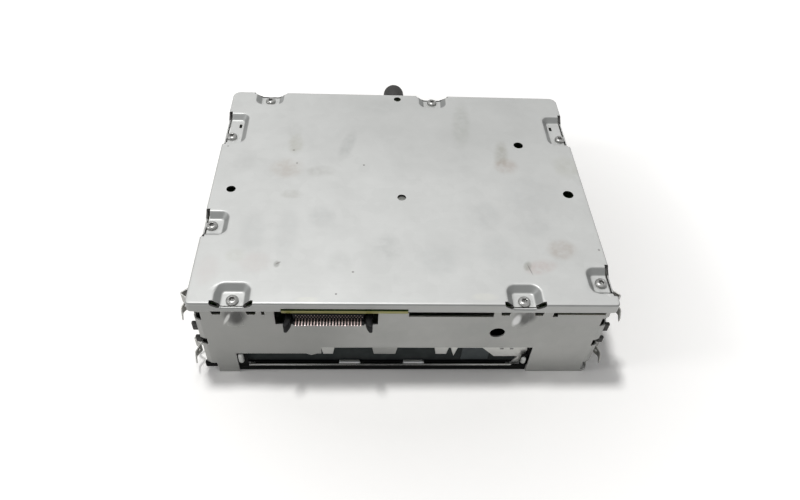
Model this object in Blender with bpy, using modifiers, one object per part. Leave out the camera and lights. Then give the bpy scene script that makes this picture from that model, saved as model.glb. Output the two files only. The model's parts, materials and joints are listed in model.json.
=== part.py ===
"""A car radio chassis with a disc slot, its front panel off, lying with the screwed cover up.

The model is in metres with +Z up. The origin is the middle of the underside, the front faces -Y
and +X is to the right as seen from the front.
"""

import math

import bmesh
import bpy
from mathutils import Matrix, Vector

# Driving dimensions of the housing
WIDTH = 0.178
DEPTH = 0.1465
HEIGHT = 0.0516
SHEET = 0.0008
GAP = 0.0003
OVERRUN = 0.002
MERGE = 0.00001

# Side counts of round pieces
SMALL_SIDES = 12
ROUND_SIDES = 20
LARGE_SIDES = 32
SHARP_ANGLE = math.radians(35)

# Planes of the walls, worked out from the lid that goes over them
HALF_W = WIDTH / 2
HALF_D = DEPTH / 2
WALL_X = HALF_W - SHEET - GAP
WALL_Y = HALF_D - SHEET - GAP
INNER_X = WALL_X - SHEET
INNER_Y = WALL_Y - SHEET
WALL_TOP = HEIGHT - SHEET - GAP

# Materials: base colour, metallic, roughness
FINISHES = {
    "galvanised_steel": ((0.56, 0.56, 0.55), 0.85, 0.42),
    "bright_steel": ((0.70, 0.70, 0.69), 0.9, 0.3),
    "spring_steel": ((0.38, 0.37, 0.36), 0.9, 0.35),
    "screw_steel": ((0.50, 0.50, 0.50), 0.9, 0.3),
    "cast_aluminium": ((0.60, 0.61, 0.62), 0.9, 0.45),
    "black_plastic": ((0.02, 0.02, 0.025), 0.0, 0.45),
    "white_plastic": ((0.75, 0.74, 0.70), 0.0, 0.5),
    "circuit_board": ((0.18, 0.22, 0.07), 0.0, 0.5),
    "black_rubber": ((0.03, 0.03, 0.03), 0.0, 0.7),
    "copper_wire": ((0.60, 0.28, 0.14), 0.9, 0.35),
    "lens_glass": ((0.25, 0.30, 0.45), 0.0, 0.1),
    "ribbon_film": ((0.70, 0.70, 0.66), 0.0, 0.4),
}

PARTS = bpy.data.collections.new("car_radio")
CUTTERS = bpy.data.collections.new("cutters")

# Each plane's turn from a flat outline's own axes to the world's
PLANES = {
    "XY": Matrix(((1, 0, 0), (0, 1, 0), (0, 0, 1))),
    "XZ": Matrix(((1, 0, 0), (0, 0, -1), (0, 1, 0))),
    "YZ": Matrix(((0, 0, 1), (1, 0, 0), (0, 1, 0))),
}
NORMAL_OF = {"XY": Vector((0, 0, 1)), "XZ": Vector((0, 1, 0)), "YZ": Vector((1, 0, 0))}


# Building blocks


def clear_scene():
    """Empties the file and adds the two collections."""
    for obj in list(bpy.data.objects):
        bpy.data.objects.remove(obj, do_unlink=True)
    bpy.context.scene.collection.children.link(PARTS)
    bpy.context.scene.collection.children.link(CUTTERS)
    CUTTERS.hide_render = True


def place(name, shape, location):
    """Makes an object of a bmesh, which is freed."""
    mesh = bpy.data.meshes.new(name)
    bmesh.ops.recalc_face_normals(shape, faces=shape.faces)
    shape.to_mesh(mesh)
    shape.free()
    obj = bpy.data.objects.new(name, mesh)
    obj.location = location
    PARTS.objects.link(obj)
    return obj


def round_uprights(shape, radius, segments=2):
    """Rounds the edges of a bmesh that climb from its bottom to its top."""
    uprights = [e for e in shape.edges if abs(e.verts[0].co.z - e.verts[1].co.z) > MERGE]
    bmesh.ops.bevel(shape, geom=uprights, offset=radius, segments=segments, affect="EDGES", profile=0.5)


def block(name, low, high, corner=0, flare=(0, 0, 0, 0)):
    """A box between two corners. flare moves its top's -X, +X, -Y and +Y sides outwards."""
    low, high = Vector(low), Vector(high)
    shape = bmesh.new()
    bmesh.ops.create_cube(shape, size=1)
    bmesh.ops.scale(shape, vec=high - low, verts=shape.verts)
    for vert in shape.verts:
        if vert.co.z > 0:
            vert.co.x += flare[1] if vert.co.x > 0 else -flare[0]
            vert.co.y += flare[3] if vert.co.y > 0 else -flare[2]
    if corner:
        round_uprights(shape, corner)
    return place(name, shape, (low + high) / 2)


def rod(name, start, end, radius, sides=ROUND_SIDES, end_radius=None):
    """A cylinder between two points, or a cone with its own end radius."""
    start, end = Vector(start), Vector(end)
    shape = bmesh.new()
    last = radius if end_radius is None else end_radius
    length = (end - start).length
    bmesh.ops.create_cone(shape, cap_ends=True, segments=sides, radius1=radius, radius2=last, depth=length)
    obj = place(name, shape, (start + end) / 2)
    obj.rotation_mode = "QUATERNION"
    obj.rotation_quaternion = (end - start).to_track_quat("Z", "Y")
    return obj


def as_mesh(curve_object, solidify=0):
    """Turns a curve object into a closed mesh object of the same name and place."""
    bpy.context.view_layer.update()
    graph = bpy.context.evaluated_depsgraph_get()
    mesh = bpy.data.meshes.new_from_object(curve_object.evaluated_get(graph))
    shape = bmesh.new()
    shape.from_mesh(mesh)
    bmesh.ops.remove_doubles(shape, verts=shape.verts, dist=MERGE)
    bmesh.ops.recalc_face_normals(shape, faces=shape.faces)
    shape.to_mesh(mesh)
    shape.free()
    name = curve_object.name
    matrix = curve_object.matrix_world.copy()
    bpy.data.objects.remove(curve_object, do_unlink=True)
    obj = bpy.data.objects.new(name, mesh)
    obj.matrix_world = matrix
    PARTS.objects.link(obj)
    if solidify:
        wall = obj.modifiers.new("wall", "SOLIDIFY")
        wall.thickness = solidify
        wall.offset = 0
        wall.use_even_offset = True
    return obj


def flat_curve(name, plane, outline, near, far, closed):
    """A flat curve in a plane, extruded along that plane's normal from near to far."""
    curve = bpy.data.curves.new(name, "CURVE")
    curve.dimensions = "2D"
    curve.fill_mode = "BOTH"
    curve.extrude = (far - near) / 2
    spline = curve.splines.new("POLY")
    spline.points.add(len(outline) - 1)
    for point, (across, up) in zip(spline.points, outline):
        point.co = (across, up, 0, 1)
    spline.use_cyclic_u = closed
    obj = bpy.data.objects.new(name, curve)
    obj.matrix_world = Matrix.Translation(NORMAL_OF[plane] * (near + far) / 2) @ PLANES[plane].to_4x4()
    PARTS.objects.link(obj)
    return obj


def plate(name, plane, outline, near, far):
    """A flat outline as a solid between two heights on its plane's normal."""
    return as_mesh(flat_curve(name, plane, outline, near, far, True))


def bent_strip(name, plane, path, near, far, thickness):
    """A strip of even thickness that follows a path, as wide as near to far."""
    return as_mesh(flat_curve(name, plane, path, near, far, False), thickness)


def turned(name, profile, start, axis, sides=ROUND_SIDES, closed=False):
    """A profile of (radius, height) turned about the axis. It runs down its outer side."""
    mesh = bpy.data.meshes.new(name)
    links = [(i, i + 1) for i in range(len(profile) - 1)]
    if closed:
        links.append((len(profile) - 1, 0))
    mesh.from_pydata([(radius, 0, height) for radius, height in profile], links, [])
    obj = bpy.data.objects.new(name, mesh)
    obj.location = start
    obj.rotation_mode = "QUATERNION"
    obj.rotation_quaternion = Vector(axis).to_track_quat("Z", "Y")
    PARTS.objects.link(obj)
    screw = obj.modifiers.new("turn", "SCREW")
    screw.steps = sides
    screw.render_steps = sides
    screw.use_merge_vertices = True
    screw.merge_threshold = MERGE
    return obj


def boolean(target, operation, others):
    """Adds or cuts other objects, which become hidden cutters."""
    for other in others:
        modifier = target.modifiers.new(operation.lower(), "BOOLEAN")
        modifier.operation = operation
        modifier.object = other
        PARTS.objects.unlink(other)
        CUTTERS.objects.link(other)
        other.hide_render = True
        other.display_type = "WIRE"
    return target


def cut(target, *others):
    """Cuts the other objects out of the target."""
    return boolean(target, "DIFFERENCE", others)


def fuse(target, *others):
    """Adds the other objects to the target."""
    return boolean(target, "UNION", others)


def finish(obj, name, smooth=False):
    """Gives an object its material, and smooth sides if it is round."""
    material = bpy.data.materials.get(name)
    if material is None:
        colour, metallic, roughness = FINISHES[name]
        material = bpy.data.materials.new(name)
        material.use_nodes = True
        shader = material.node_tree.nodes["Principled BSDF"]
        shader.inputs["Base Color"].default_value = (*colour, 1)
        shader.inputs["Metallic"].default_value = metallic
        shader.inputs["Roughness"].default_value = roughness
    obj.data.materials.append(material)
    if smooth:
        obj.data.shade_smooth()
        obj.data.set_sharp_from_angle(angle=SHARP_ANGLE)
    return obj


def pivot(name, location, *children):
    """An empty on a joint's axis that carries the pieces that move about it."""
    empty = bpy.data.objects.new(name, None)
    empty.location = location
    PARTS.objects.link(empty)
    bpy.context.view_layer.update()
    for child in children:
        child.parent = empty
        child.matrix_parent_inverse = empty.matrix_world.inverted()
    return empty


# Places along the four edges of the lid


def edge_point(edge, along, inward):
    """A point's x and y, from its place along an edge of the lid and inwards from it."""
    return {
        "front": (along, inward - HALF_D),
        "back": (along, HALF_D - inward),
        "left": (inward - HALF_W, along),
        "right": (HALF_W - inward, along),
    }[edge]


def edge_block(name, edge, along, inward, heights, corner=0, flare=0, inward_flare=0):
    """A box by its spans along an edge and inwards from it. Its top may flare out."""
    first = edge_point(edge, along[0], inward[0])
    last = edge_point(edge, along[1], inward[1])
    low = (min(first[0], last[0]), min(first[1], last[1]), heights[0])
    high = (max(first[0], last[0]), max(first[1], last[1]), heights[1])
    flares = {
        "front": (flare, flare, 0, inward_flare),
        "back": (flare, flare, inward_flare, 0),
        "left": (0, inward_flare, flare, flare),
        "right": (inward_flare, 0, flare, flare),
    }[edge]
    return block(name, low, high, corner, flares)


def edge_plate(name, edge, outline, inward):
    """A flat outline of places along an edge and heights, as deep as its span inwards."""
    plane, axis = ("XZ", 1) if edge in ("front", "back") else ("YZ", 0)
    near, far = sorted(edge_point(edge, 0, depth)[axis] for depth in inward)
    return plate(name, plane, outline, near, far)


# Lid and its screws

FLANGE_DROP = 0.0050
RAISED_DROP = 0.0031
LID_CORNER = 0.004
POCKET_DEPTH = 0.0029
POCKET_FLARE = 0.0030
POCKET_CORNER = 0.0026
POCKET_FLOOR_WIDTH = 0.009
POCKET_REACH = 0.0083
POCKET_LONG_RUN = 0.0095
SLIT = 0.0005
SLIT_RUN = 0.0026
LENS_RUN = 0.0052
LENS_REACH = SHEET + SLIT / 2
# A gap beside a pocket: shares of its run from the floor and of the pocket's depth
LENS_SHARES = ((0.04, 0.96), (0.27, 0.96), (0.84, 0.48), (1, 0.2), (1, -0.3), (0.04, -0.3))
SCREW_INSET = 0.0036
MIDDLE_SCREW_INSET = 0.0048
DEEP_SCREW_INSET = 0.0052
SCREW_HEAD_RADIUS = 0.0026
SCREW_HEAD_HEIGHT = 0.0017
SCREW_CROWN = 0.0006
SCREW_SHANK_RADIUS = 0.0012
SCREW_LENGTH = 0.0036
SCREW_POINT = 0.0006
RECESS_RADIUS = 0.0013
RECESS_DEPTH = 0.0009
RECESS_POINTS = 6
RECESS_INNER_SHARE = 0.72
SLOT_HALF_WIDTH = 0.0006
SLOT_HALF_LENGTH = 0.00125
SLOT_INSET = 0.0068

FLOOR_TOP = HEIGHT - POCKET_DEPTH
TAB_TOP = FLOOR_TOP - SHEET - GAP

# Each lid screw's place along its edge, as a share of that edge
LID_SCREW_SHARES = {
    "front_left": -0.397,
    "front_right": 0.277,
    "back_left": -0.387,
    "back_right": 0.109,
    "left_back": 0.249,
    "left_middle": -0.188,
    "right_back": 0.266,
    "right_front": -0.406,
}
# Each lid screw's edge and its step inwards
LID_SCREWS = {
    "front_left": ("front", SCREW_INSET),
    "front_right": ("front", SCREW_INSET),
    "back_left": ("back", DEEP_SCREW_INSET),
    "back_right": ("back", SCREW_INSET),
    "left_back": ("left", SCREW_INSET),
    "left_middle": ("left", SCREW_INSET),
    "right_back": ("right", SCREW_INSET),
    "right_front": ("right", MIDDLE_SCREW_INSET),
}
LONG_POCKETS = ("left_back", "right_back")
# Each round hole: shares of the width and the depth, then its radius
LID_HOLE_SHARES = ((-0.448, -0.0375), (0.346, 0.209), (0.451, -0.042), (0.001, 0.47), (0.0005, -0.067))
LID_HOLE_RADII = (0.00215, 0.00245, 0.00255, 0.00195, 0.00205)


def along_of(name):
    """A lid screw's place along its edge."""
    edge = LID_SCREWS[name][0]
    return LID_SCREW_SHARES[name] * (WIDTH if edge in ("front", "back") else DEPTH)


def screw_point(name):
    """A lid screw's x and y."""
    edge, inset = LID_SCREWS[name]
    return edge_point(edge, along_of(name), inset)


def pocket_span(name):
    """The first and last places of a pocket's floor along its edge."""
    along = along_of(name)
    extra = POCKET_LONG_RUN if name in LONG_POCKETS else 0
    return along - POCKET_FLOOR_WIDTH / 2, along + POCKET_FLOOR_WIDTH / 2 + extra


def pocket_solid(name, grow, top, bottom, outer):
    """A sunk pocket's shape: grow widens its floor, and its sides keep one slope."""
    edge = LID_SCREWS[name][0]
    first, last = pocket_span(name)
    flare = POCKET_FLARE * (top - bottom) / POCKET_DEPTH
    return edge_block(
        f"pocket_{name}",
        edge,
        (first - grow, last + grow),
        (outer, POCKET_REACH + grow),
        (bottom, top),
        POCKET_CORNER + grow,
        flare,
        flare,
    )


def lid():
    """The pressed cover: a tray turned over, with sunk pockets whose outer sides are slit free."""
    cover = block("lid", (-HALF_W, -HALF_D, HEIGHT - FLANGE_DROP), (HALF_W, HALF_D, HEIGHT), LID_CORNER)
    room_x = HALF_W - SHEET
    room_y = HALF_D - SHEET
    room_low = HEIGHT - FLANGE_DROP - OVERRUN
    room_high = (room_x, room_y, HEIGHT - SHEET)
    cut(cover, block("lid_room", (-room_x, -room_y, room_low), room_high, LID_CORNER - SHEET))
    for name, (edge, _) in LID_SCREWS.items():
        fuse(cover, pocket_solid(name, SHEET, HEIGHT - SHEET / 2, FLOOR_TOP - SHEET, SHEET / 2))
        cut(cover, pocket_solid(name, 0, HEIGHT + OVERRUN, FLOOR_TOP, -OVERRUN))
        first, last = pocket_span(name)
        run = POCKET_FLARE + SLIT_RUN
        slit = (first - run, last + run), (SHEET, SHEET + SLIT), (room_low, HEIGHT + OVERRUN)
        cut(cover, edge_block("slit", edge, *slit))
        for end, way in ((first, -1), (last, 1)):
            reach = way * LENS_RUN
            outline = [(end + run * reach, HEIGHT - down * POCKET_DEPTH) for run, down in LENS_SHARES]
            cut(cover, edge_plate("lens_gap", edge, outline, (-OVERRUN, LENS_REACH)))
        x, y = screw_point(name)
        hole_radius = SCREW_SHANK_RADIUS + GAP
        cut(cover, rod("screw_hole", (x, y, room_low), (x, y, HEIGHT + OVERRUN), hole_radius, SMALL_SIDES))
        if name in LONG_POCKETS:
            middle = along_of(name) + POCKET_LONG_RUN
            span = (middle - SLOT_HALF_LENGTH, middle + SLOT_HALF_LENGTH)
            depth = (SLOT_INSET - SLOT_HALF_WIDTH, SLOT_INSET + SLOT_HALF_WIDTH)
            cut(cover, edge_block("lid_slot", edge, span, depth, (room_low, HEIGHT + OVERRUN)))
    for (x_share, y_share), radius in zip(LID_HOLE_SHARES, LID_HOLE_RADII):
        x, y = x_share * WIDTH, y_share * DEPTH
        cut(cover, rod("lid_hole", (x, y, room_low), (x, y, HEIGHT + OVERRUN), radius))
    raised_low = (TONGUE_LEFT, -HALF_D - OVERRUN, room_low)
    raised_high = (TONGUE_RIGHT, -room_y + GAP, HEIGHT - RAISED_DROP)
    cut(cover, block("raised_edge", raised_low, raised_high))
    return finish(cover, "galvanised_steel")


def star_recess(name, centre, axis):
    """A six-pointed recess, cut from the crown of a screw head."""
    points = []
    for i in range(2 * RECESS_POINTS):
        radius = RECESS_RADIUS if i % 2 == 0 else RECESS_RADIUS * RECESS_INNER_SHARE
        angle = math.pi * i / RECESS_POINTS
        points.append((radius * math.cos(angle), radius * math.sin(angle)))
    tool = plate(name, "XY", points, -RECESS_DEPTH, RECESS_DEPTH)
    tool.matrix_world = Matrix.Translation(centre) @ Vector(axis).to_track_quat("Z", "Y").to_matrix().to_4x4()
    return tool


def pan_screw(name, seat, axis, length=None):
    """A pan head screw standing on its seat point, with its head along the axis."""
    end = -(length or SCREW_LENGTH)
    crown = SCREW_HEAD_HEIGHT - SCREW_CROWN
    profile = (
        (0, SCREW_HEAD_HEIGHT),
        (SCREW_HEAD_RADIUS * RECESS_INNER_SHARE, SCREW_HEAD_HEIGHT - SCREW_CROWN / 3),
        (SCREW_HEAD_RADIUS, crown - SCREW_CROWN),
        (SCREW_HEAD_RADIUS, GAP),
        (SCREW_SHANK_RADIUS, GAP),
        (SCREW_SHANK_RADIUS, end + SCREW_POINT),
        (0, end),
    )
    screw = turned(name, profile, seat, axis, SMALL_SIDES)
    top = Vector(seat) + Vector(axis) * SCREW_HEAD_HEIGHT
    cut(screw, star_recess(f"{name}_recess", top, axis))
    return finish(screw, "screw_steel", smooth=True)


def lid_screws():
    """The eight screws that hold the lid on the tabs of the walls."""
    for name in LID_SCREWS:
        x, y = screw_point(name)
        pan_screw(f"lid_screw_{name}", (x, y, FLOOR_TOP), (0, 0, 1))


# Main board and front header sizes, which the walls follow

BOARD_DROP = 0.0055
BOARD_THICKNESS = 0.0016
BOARD_TOP = HEIGHT - BOARD_DROP
BOARD_BOTTOM = BOARD_TOP - BOARD_THICKNESS
HANG_TOP = BOARD_BOTTOM - GAP
SHANK_ROOM = 0.0005
CORNER_RELIEF = 0.0024

HEADER_X = -0.179 * WIDTH
PIN_COUNT = 22
PIN_PITCH = 0.00127
PIN_WIDTH = 0.0005
PIN_LENGTH = 0.0038
HEADER_HEIGHT = 0.0066
HEADER_END = 0.0015
HEADER_DEPTH = 0.0075
HEADER_LIP = 0.0008
HEADER_LIP_HEIGHT = 0.0031
HEADER_PROUD = 0.0007
HEADER_HALF = PIN_PITCH * (PIN_COUNT - 1) / 2 + HEADER_END
EAR_LENGTH = 0.0036
EAR_THICKNESS = 0.0008
LATCH_PIN_RADIUS = 0.0007
LATCH_ROOT_RADIUS = 0.0015
LATCH_LENGTH = 0.0102
LATCH_CURL = 0.0019
NOTCH_ROOM = 0.0022
NOTCH_EXTRA = 0.0017
TONGUE_PROUD = 0.0003
TONGUE_EXTRA = 0.0008

HEADER_BOTTOM = HANG_TOP - HEADER_HEIGHT
NOTCH_HALF = HEADER_HALF + EAR_LENGTH + NOTCH_ROOM
TONGUE_LEFT = HEADER_X - HEADER_HALF - EAR_LENGTH - TONGUE_EXTRA
TONGUE_RIGHT_RUN = 0.0329
TONGUE_RIGHT = HEADER_X + TONGUE_RIGHT_RUN
HEADER_FACE = -WALL_Y - HEADER_PROUD

# Disc deck sizes, which the slot, the base and the walls follow

DISC_SHARE = 0.337079  # of the unit's width
DISC_RADIUS = DISC_SHARE * WIDTH
DISC_THICKNESS = 0.0012
DISC_HEIGHT = 0.0074
DECK_MIDDLE = -0.0494 * WIDTH
DECK_EDGE_SHARE = 0.0337079  # of the unit's width, as the dampers' shares are
DECK_EDGE = DECK_EDGE_SHARE * WIDTH
DECK_HALF = DISC_RADIUS + DECK_EDGE
DECK_LEFT = DECK_MIDDLE - DECK_HALF
DECK_RIGHT = DECK_MIDDLE + DECK_HALF
FRONT_PLATE_BACK = 0.0025
FRONT_PLATE_Y = -WALL_Y + FRONT_PLATE_BACK
DECK_FRONT = FRONT_PLATE_Y + SHEET + GAP
DECK_REAR = INNER_Y - SHEET - GAP

# Stud sizes at the rear, which the rear wall follows

STUD_X = -0.0056 * WIDTH
STUD_DROP = 0.0118
STUD_Z = HEIGHT - STUD_DROP
STUD_RADIUS = 0.0025
STUD_HEAD_RADIUS = 0.0042
STUD_HEAD = 0.002
STUD_REACH = 0.0145
NUT_RADIUS = 0.0048
NUT_THICKNESS = 0.003
NUT_SIDES = 6
CAP_RADIUS = 0.0057
CAP_CENTRE_REACH = 0.0169
CAP_LENGTH = 0.011
CAP_END_STEPS = 5

# Rear connector, antenna socket, amplifier and heat sink, which the rear wall follows

CONNECTOR_X = -0.135 * WIDTH
CONNECTOR_WIDTH_SHARE = 0.157303  # of the unit's width
CONNECTOR_WIDTH = CONNECTOR_WIDTH_SHARE * WIDTH
CONNECTOR_PITCH_SHARE = 0.166667
CONNECTOR_HEIGHT = 0.0165
CONNECTOR_DEPTH = 0.018
CONNECTOR_PROUD = 0.0015
CONNECTOR_WALL = 0.0022
CONNECTOR_CAVITY = 0.0125
CONNECTOR_PINS = 4
CONNECTOR_ROW_SHARE = 0.167
CONNECTOR_PIN_WIDTH = 0.001
CONNECTOR_PIN_LENGTH = 0.007

ANTENNA_X = -0.326 * WIDTH
ANTENNA_DROP = 0.0128
ANTENNA_Z = HEIGHT - ANTENNA_DROP
ANTENNA_RADIUS = 0.005
ANTENNA_BORE = 0.0038
ANTENNA_PROUD = 0.0098
ANTENNA_BORE_DEPTH = 0.0105

SINK_X = 0.281 * WIDTH
SINK_WIDTH = 0.058
SINK_LOW = 0.0100
SINK_HEIGHT = 0.031
SINK_BASE = 0.003
SINK_FIN = 0.0075
SINK_FIN_THICKNESS = 0.0016
SINK_FIN_COUNT = 7
SINK_SCREW_PITCHES = 2.5
SINK_SCREW_RISE_SHARE = 0.2
SINK_BACK = WALL_Y + GAP + SINK_BASE

AMP_X = SINK_X
AMP_WIDTH = 0.026
AMP_THICKNESS = 0.0044
AMP_HEIGHT = 0.0135
AMP_LEGS = 0.0026
AMP_LEG_THICKNESS = 0.001
AMP_LEG_WIDTH = 0.022
AMP_ROOM = 0.0015


# Chassis

TAB_WIDTH = 0.0082
TAB_REACH = 0.0088
RELIEF_WIDTH = 0.0060
RELIEF_DROP = 0.0087
RELIEF_FLARE = 0.0013
BOARD_TAB_LENGTH = 0.008
BOARD_TAB_REACH = 0.005
BOARD_TAB_SHARE = 0.35
GUSSET_WIDTH = 0.0072
GUSSET_TIP = 0.0032
GUSSET_LENGTH = 0.0104
GUSSET_PROUD = 0.0008
FRONT_HOLE_X = 0.228 * WIDTH
FRONT_HOLE_DROP = 0.0210
FRONT_HOLE_RADIUS = 0.0034
SLOT_LOW = 0.0146
SLOT_HIGH = 0.0194
SLOT_MARGIN = 0.0013
SLOT_TOOTH = 0.0012
SLOT_STEP_SHARE = 0.453
SLOT_TOOTH_SHARE = 0.525
FOOT_WIDTH = 0.0092
FOOT_NOTCH = 0.0071
NOTCH_BOTTOM_ROOM = 0.0012
WINDOW_WIDTH = 0.0037
WINDOW_RUN = 0.0036
CORNER_HOLE_LOW = 0.0014
CORNER_HOLE_HIGH = 0.0078
HOOK_PROUD = 0.0013
HOOK_RUN = 0.0024
HOOK_SETBACK = 0.0006
# Each notch in the front wall's top edge: first and last places across, then its drop from the lid
TOP_NOTCH_SHARES = ((0.0084, 0.209), (0.3624, 0.4764), (-0.3335, -0.3255), (0.3506, 0.3629))
TOP_NOTCH_DROPS = (0.0097, 0.0080, 0.0088, 0.0095)
# Drops from the lid of the top and bottom of each window at a side wall's front edge
LEFT_WINDOW_DROPS = ((0.0070, 0.0125), (0.0255, 0.0300))
RIGHT_WINDOW_DROPS = ((0.0104, 0.0160), (0.0262, 0.0308))
HOOK_DROPS = ((0.0190, 0.0240), (0.0330, 0.0365))

SLOT_LEFT = DECK_MIDDLE - DISC_RADIUS - DECK_EDGE + SLOT_MARGIN
SLOT_RIGHT = DECK_MIDDLE + DISC_RADIUS + DECK_EDGE + SLOT_MARGIN
SLOT_STEP = DECK_MIDDLE - DISC_RADIUS * SLOT_STEP_SHARE
SLOT_TOOTH_X = DECK_MIDDLE - DISC_RADIUS * SLOT_TOOTH_SHARE


def disc_slot_tool():
    """The slot's outline, open at the wall's bottom edge, with one step and one small tooth."""
    outline = (
        (SLOT_LEFT, -OVERRUN),
        (SLOT_LEFT, SLOT_LOW),
        (SLOT_TOOTH_X - 2 * SLOT_TOOTH, SLOT_LOW),
        (SLOT_TOOTH_X, SLOT_LOW - SLOT_TOOTH),
        (SLOT_TOOTH_X + 2 * SLOT_TOOTH, SLOT_LOW),
        (SLOT_STEP, SLOT_LOW),
        (SLOT_STEP, SLOT_HIGH),
        (SLOT_RIGHT, SLOT_HIGH),
        (SLOT_RIGHT, -OVERRUN),
    )
    return plate("disc_slot", "XZ", outline, -WALL_Y - OVERRUN, -INNER_Y + OVERRUN)


def front_wall_block(name, first, last, low, high):
    """A box that cuts through the front wall."""
    return block(name, (first, -WALL_Y - OVERRUN, low), (last, -INNER_Y + OVERRUN, high))


def gusset(name, x):
    """A flattened cone, widest at its foot, that stiffens the wall under a front screw."""
    shape = bmesh.new()
    bmesh.ops.create_cone(
        shape,
        cap_ends=True,
        segments=SMALL_SIDES,
        radius1=GUSSET_WIDTH / 2,
        radius2=GUSSET_TIP / 2,
        depth=GUSSET_LENGTH,
    )
    bmesh.ops.scale(shape, vec=(1, 2 * GUSSET_PROUD / GUSSET_WIDTH, 1), verts=shape.verts)
    top = HEIGHT - FLANGE_DROP - GAP
    return place(name, shape, (x, -WALL_Y, top - GUSSET_LENGTH / 2))


def add_screw_tabs(walls):
    """Lowers the walls' top at each pocket, and adds the tab that its screw goes into."""
    for name, (edge, _) in LID_SCREWS.items():
        first, last = pocket_span(name)
        run = POCKET_FLARE * 2 + SHEET + GAP
        depth = (-OVERRUN, SHEET + GAP + SHEET + OVERRUN)
        cut(walls, edge_block("pocket_room", edge, (first - run, last + run), depth, (TAB_TOP, HEIGHT)))
        along = along_of(name)
        span = (along - TAB_WIDTH / 2, along + TAB_WIDTH / 2)
        relief = TAB_TOP + OVERRUN
        heights = (HEIGHT - RELIEF_DROP, relief)
        for start, end in ((span[0] - RELIEF_WIDTH, span[0]), (span[1], span[1] + RELIEF_WIDTH)):
            narrow = (start + RELIEF_FLARE, end - RELIEF_FLARE)
            cut(walls, edge_block("relief", edge, narrow, depth, heights, flare=RELIEF_FLARE))
        fuse(walls, edge_block("tab", edge, span, (SHEET + GAP, TAB_REACH), (TAB_TOP - SHEET, TAB_TOP)))
        x, y = screw_point(name)
        hole = rod(
            "tab_hole",
            (x, y, TAB_TOP - SHEET - GAP),
            (x, y, TAB_TOP + OVERRUN),
            SCREW_SHANK_RADIUS + GAP,
            SMALL_SIDES,
        )
        cut(walls, hole)


def add_board_tabs(walls):
    """Four inward tabs that carry the main board."""
    top = BOARD_BOTTOM - GAP
    for side in ("left", "right"):
        for sign in (-1, 1):
            along = sign * BOARD_TAB_SHARE * DEPTH
            span = (along - BOARD_TAB_LENGTH / 2, along + BOARD_TAB_LENGTH / 2)
            reach = (SHEET + GAP + SHEET / 2, SHEET + GAP + SHEET + BOARD_TAB_REACH)
            fuse(walls, edge_block("board_tab", side, span, reach, (top - SHEET, top)))


def cut_front_wall(walls):
    """The slot, the header's notch, the small openings and the foot of the front wall."""
    cut(walls, disc_slot_tool())
    notch_left = HEADER_X - NOTCH_HALF - NOTCH_EXTRA
    notch_low = HEADER_BOTTOM - NOTCH_BOTTOM_ROOM
    cut(walls, front_wall_block("header_notch", notch_left, HEADER_X + NOTCH_HALF, notch_low, HEIGHT))
    cut(walls, front_wall_block("board_notch", notch_left, TONGUE_RIGHT + GAP, BOARD_BOTTOM - GAP, HEIGHT))
    for (first, last), drop in zip(TOP_NOTCH_SHARES, TOP_NOTCH_DROPS):
        cut(walls, front_wall_block("top_notch", first * WIDTH, last * WIDTH, HEIGHT - drop, HEIGHT))
    start = (FRONT_HOLE_X, -WALL_Y - OVERRUN, HEIGHT - FRONT_HOLE_DROP)
    end = (FRONT_HOLE_X, -INNER_Y + OVERRUN, HEIGHT - FRONT_HOLE_DROP)
    cut(walls, rod("front_hole", start, end, FRONT_HOLE_RADIUS))
    foot_left = SLOT_LEFT - FOOT_WIDTH
    foot_low = (-WALL_X - OVERRUN, -WALL_Y - OVERRUN, -OVERRUN)
    cut(walls, block("foot_notch", foot_low, (foot_left, -WALL_Y + WINDOW_RUN, FOOT_NOTCH)))
    for side, drops in ((-1, LEFT_WINDOW_DROPS), (1, RIGHT_WINDOW_DROPS)):
        for top, bottom in drops:
            corner_window(walls, side, HEIGHT - bottom, HEIGHT - top)
    corner_window(walls, 1, CORNER_HOLE_LOW, CORNER_HOLE_HIGH)


def corner_window(walls, side, low, high):
    """A window through the upright edge between the front wall and a side wall."""
    near, far = sorted((side * (WALL_X - WINDOW_WIDTH), side * (WALL_X + OVERRUN)))
    cut(walls, block("window", (near, -WALL_Y - OVERRUN, low), (far, -WALL_Y + WINDOW_RUN, high)))


def add_hooks(walls):
    """Small hooks that stand out of the side walls near the front."""
    for side in (-1, 1):
        for top, bottom in HOOK_DROPS:
            near, far = sorted((side * (WALL_X - SHEET / 2), side * (WALL_X + HOOK_PROUD)))
            front = -WALL_Y + WINDOW_RUN + HOOK_SETBACK
            low = (near, front, HEIGHT - bottom)
            high = (far, front + HOOK_RUN, HEIGHT - top)
            flare = (0, -HOOK_PROUD / 2, 0, 0) if side > 0 else (-HOOK_PROUD / 2, 0, 0, 0)
            fuse(walls, block("hook", low, high, 0, flare))


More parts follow.
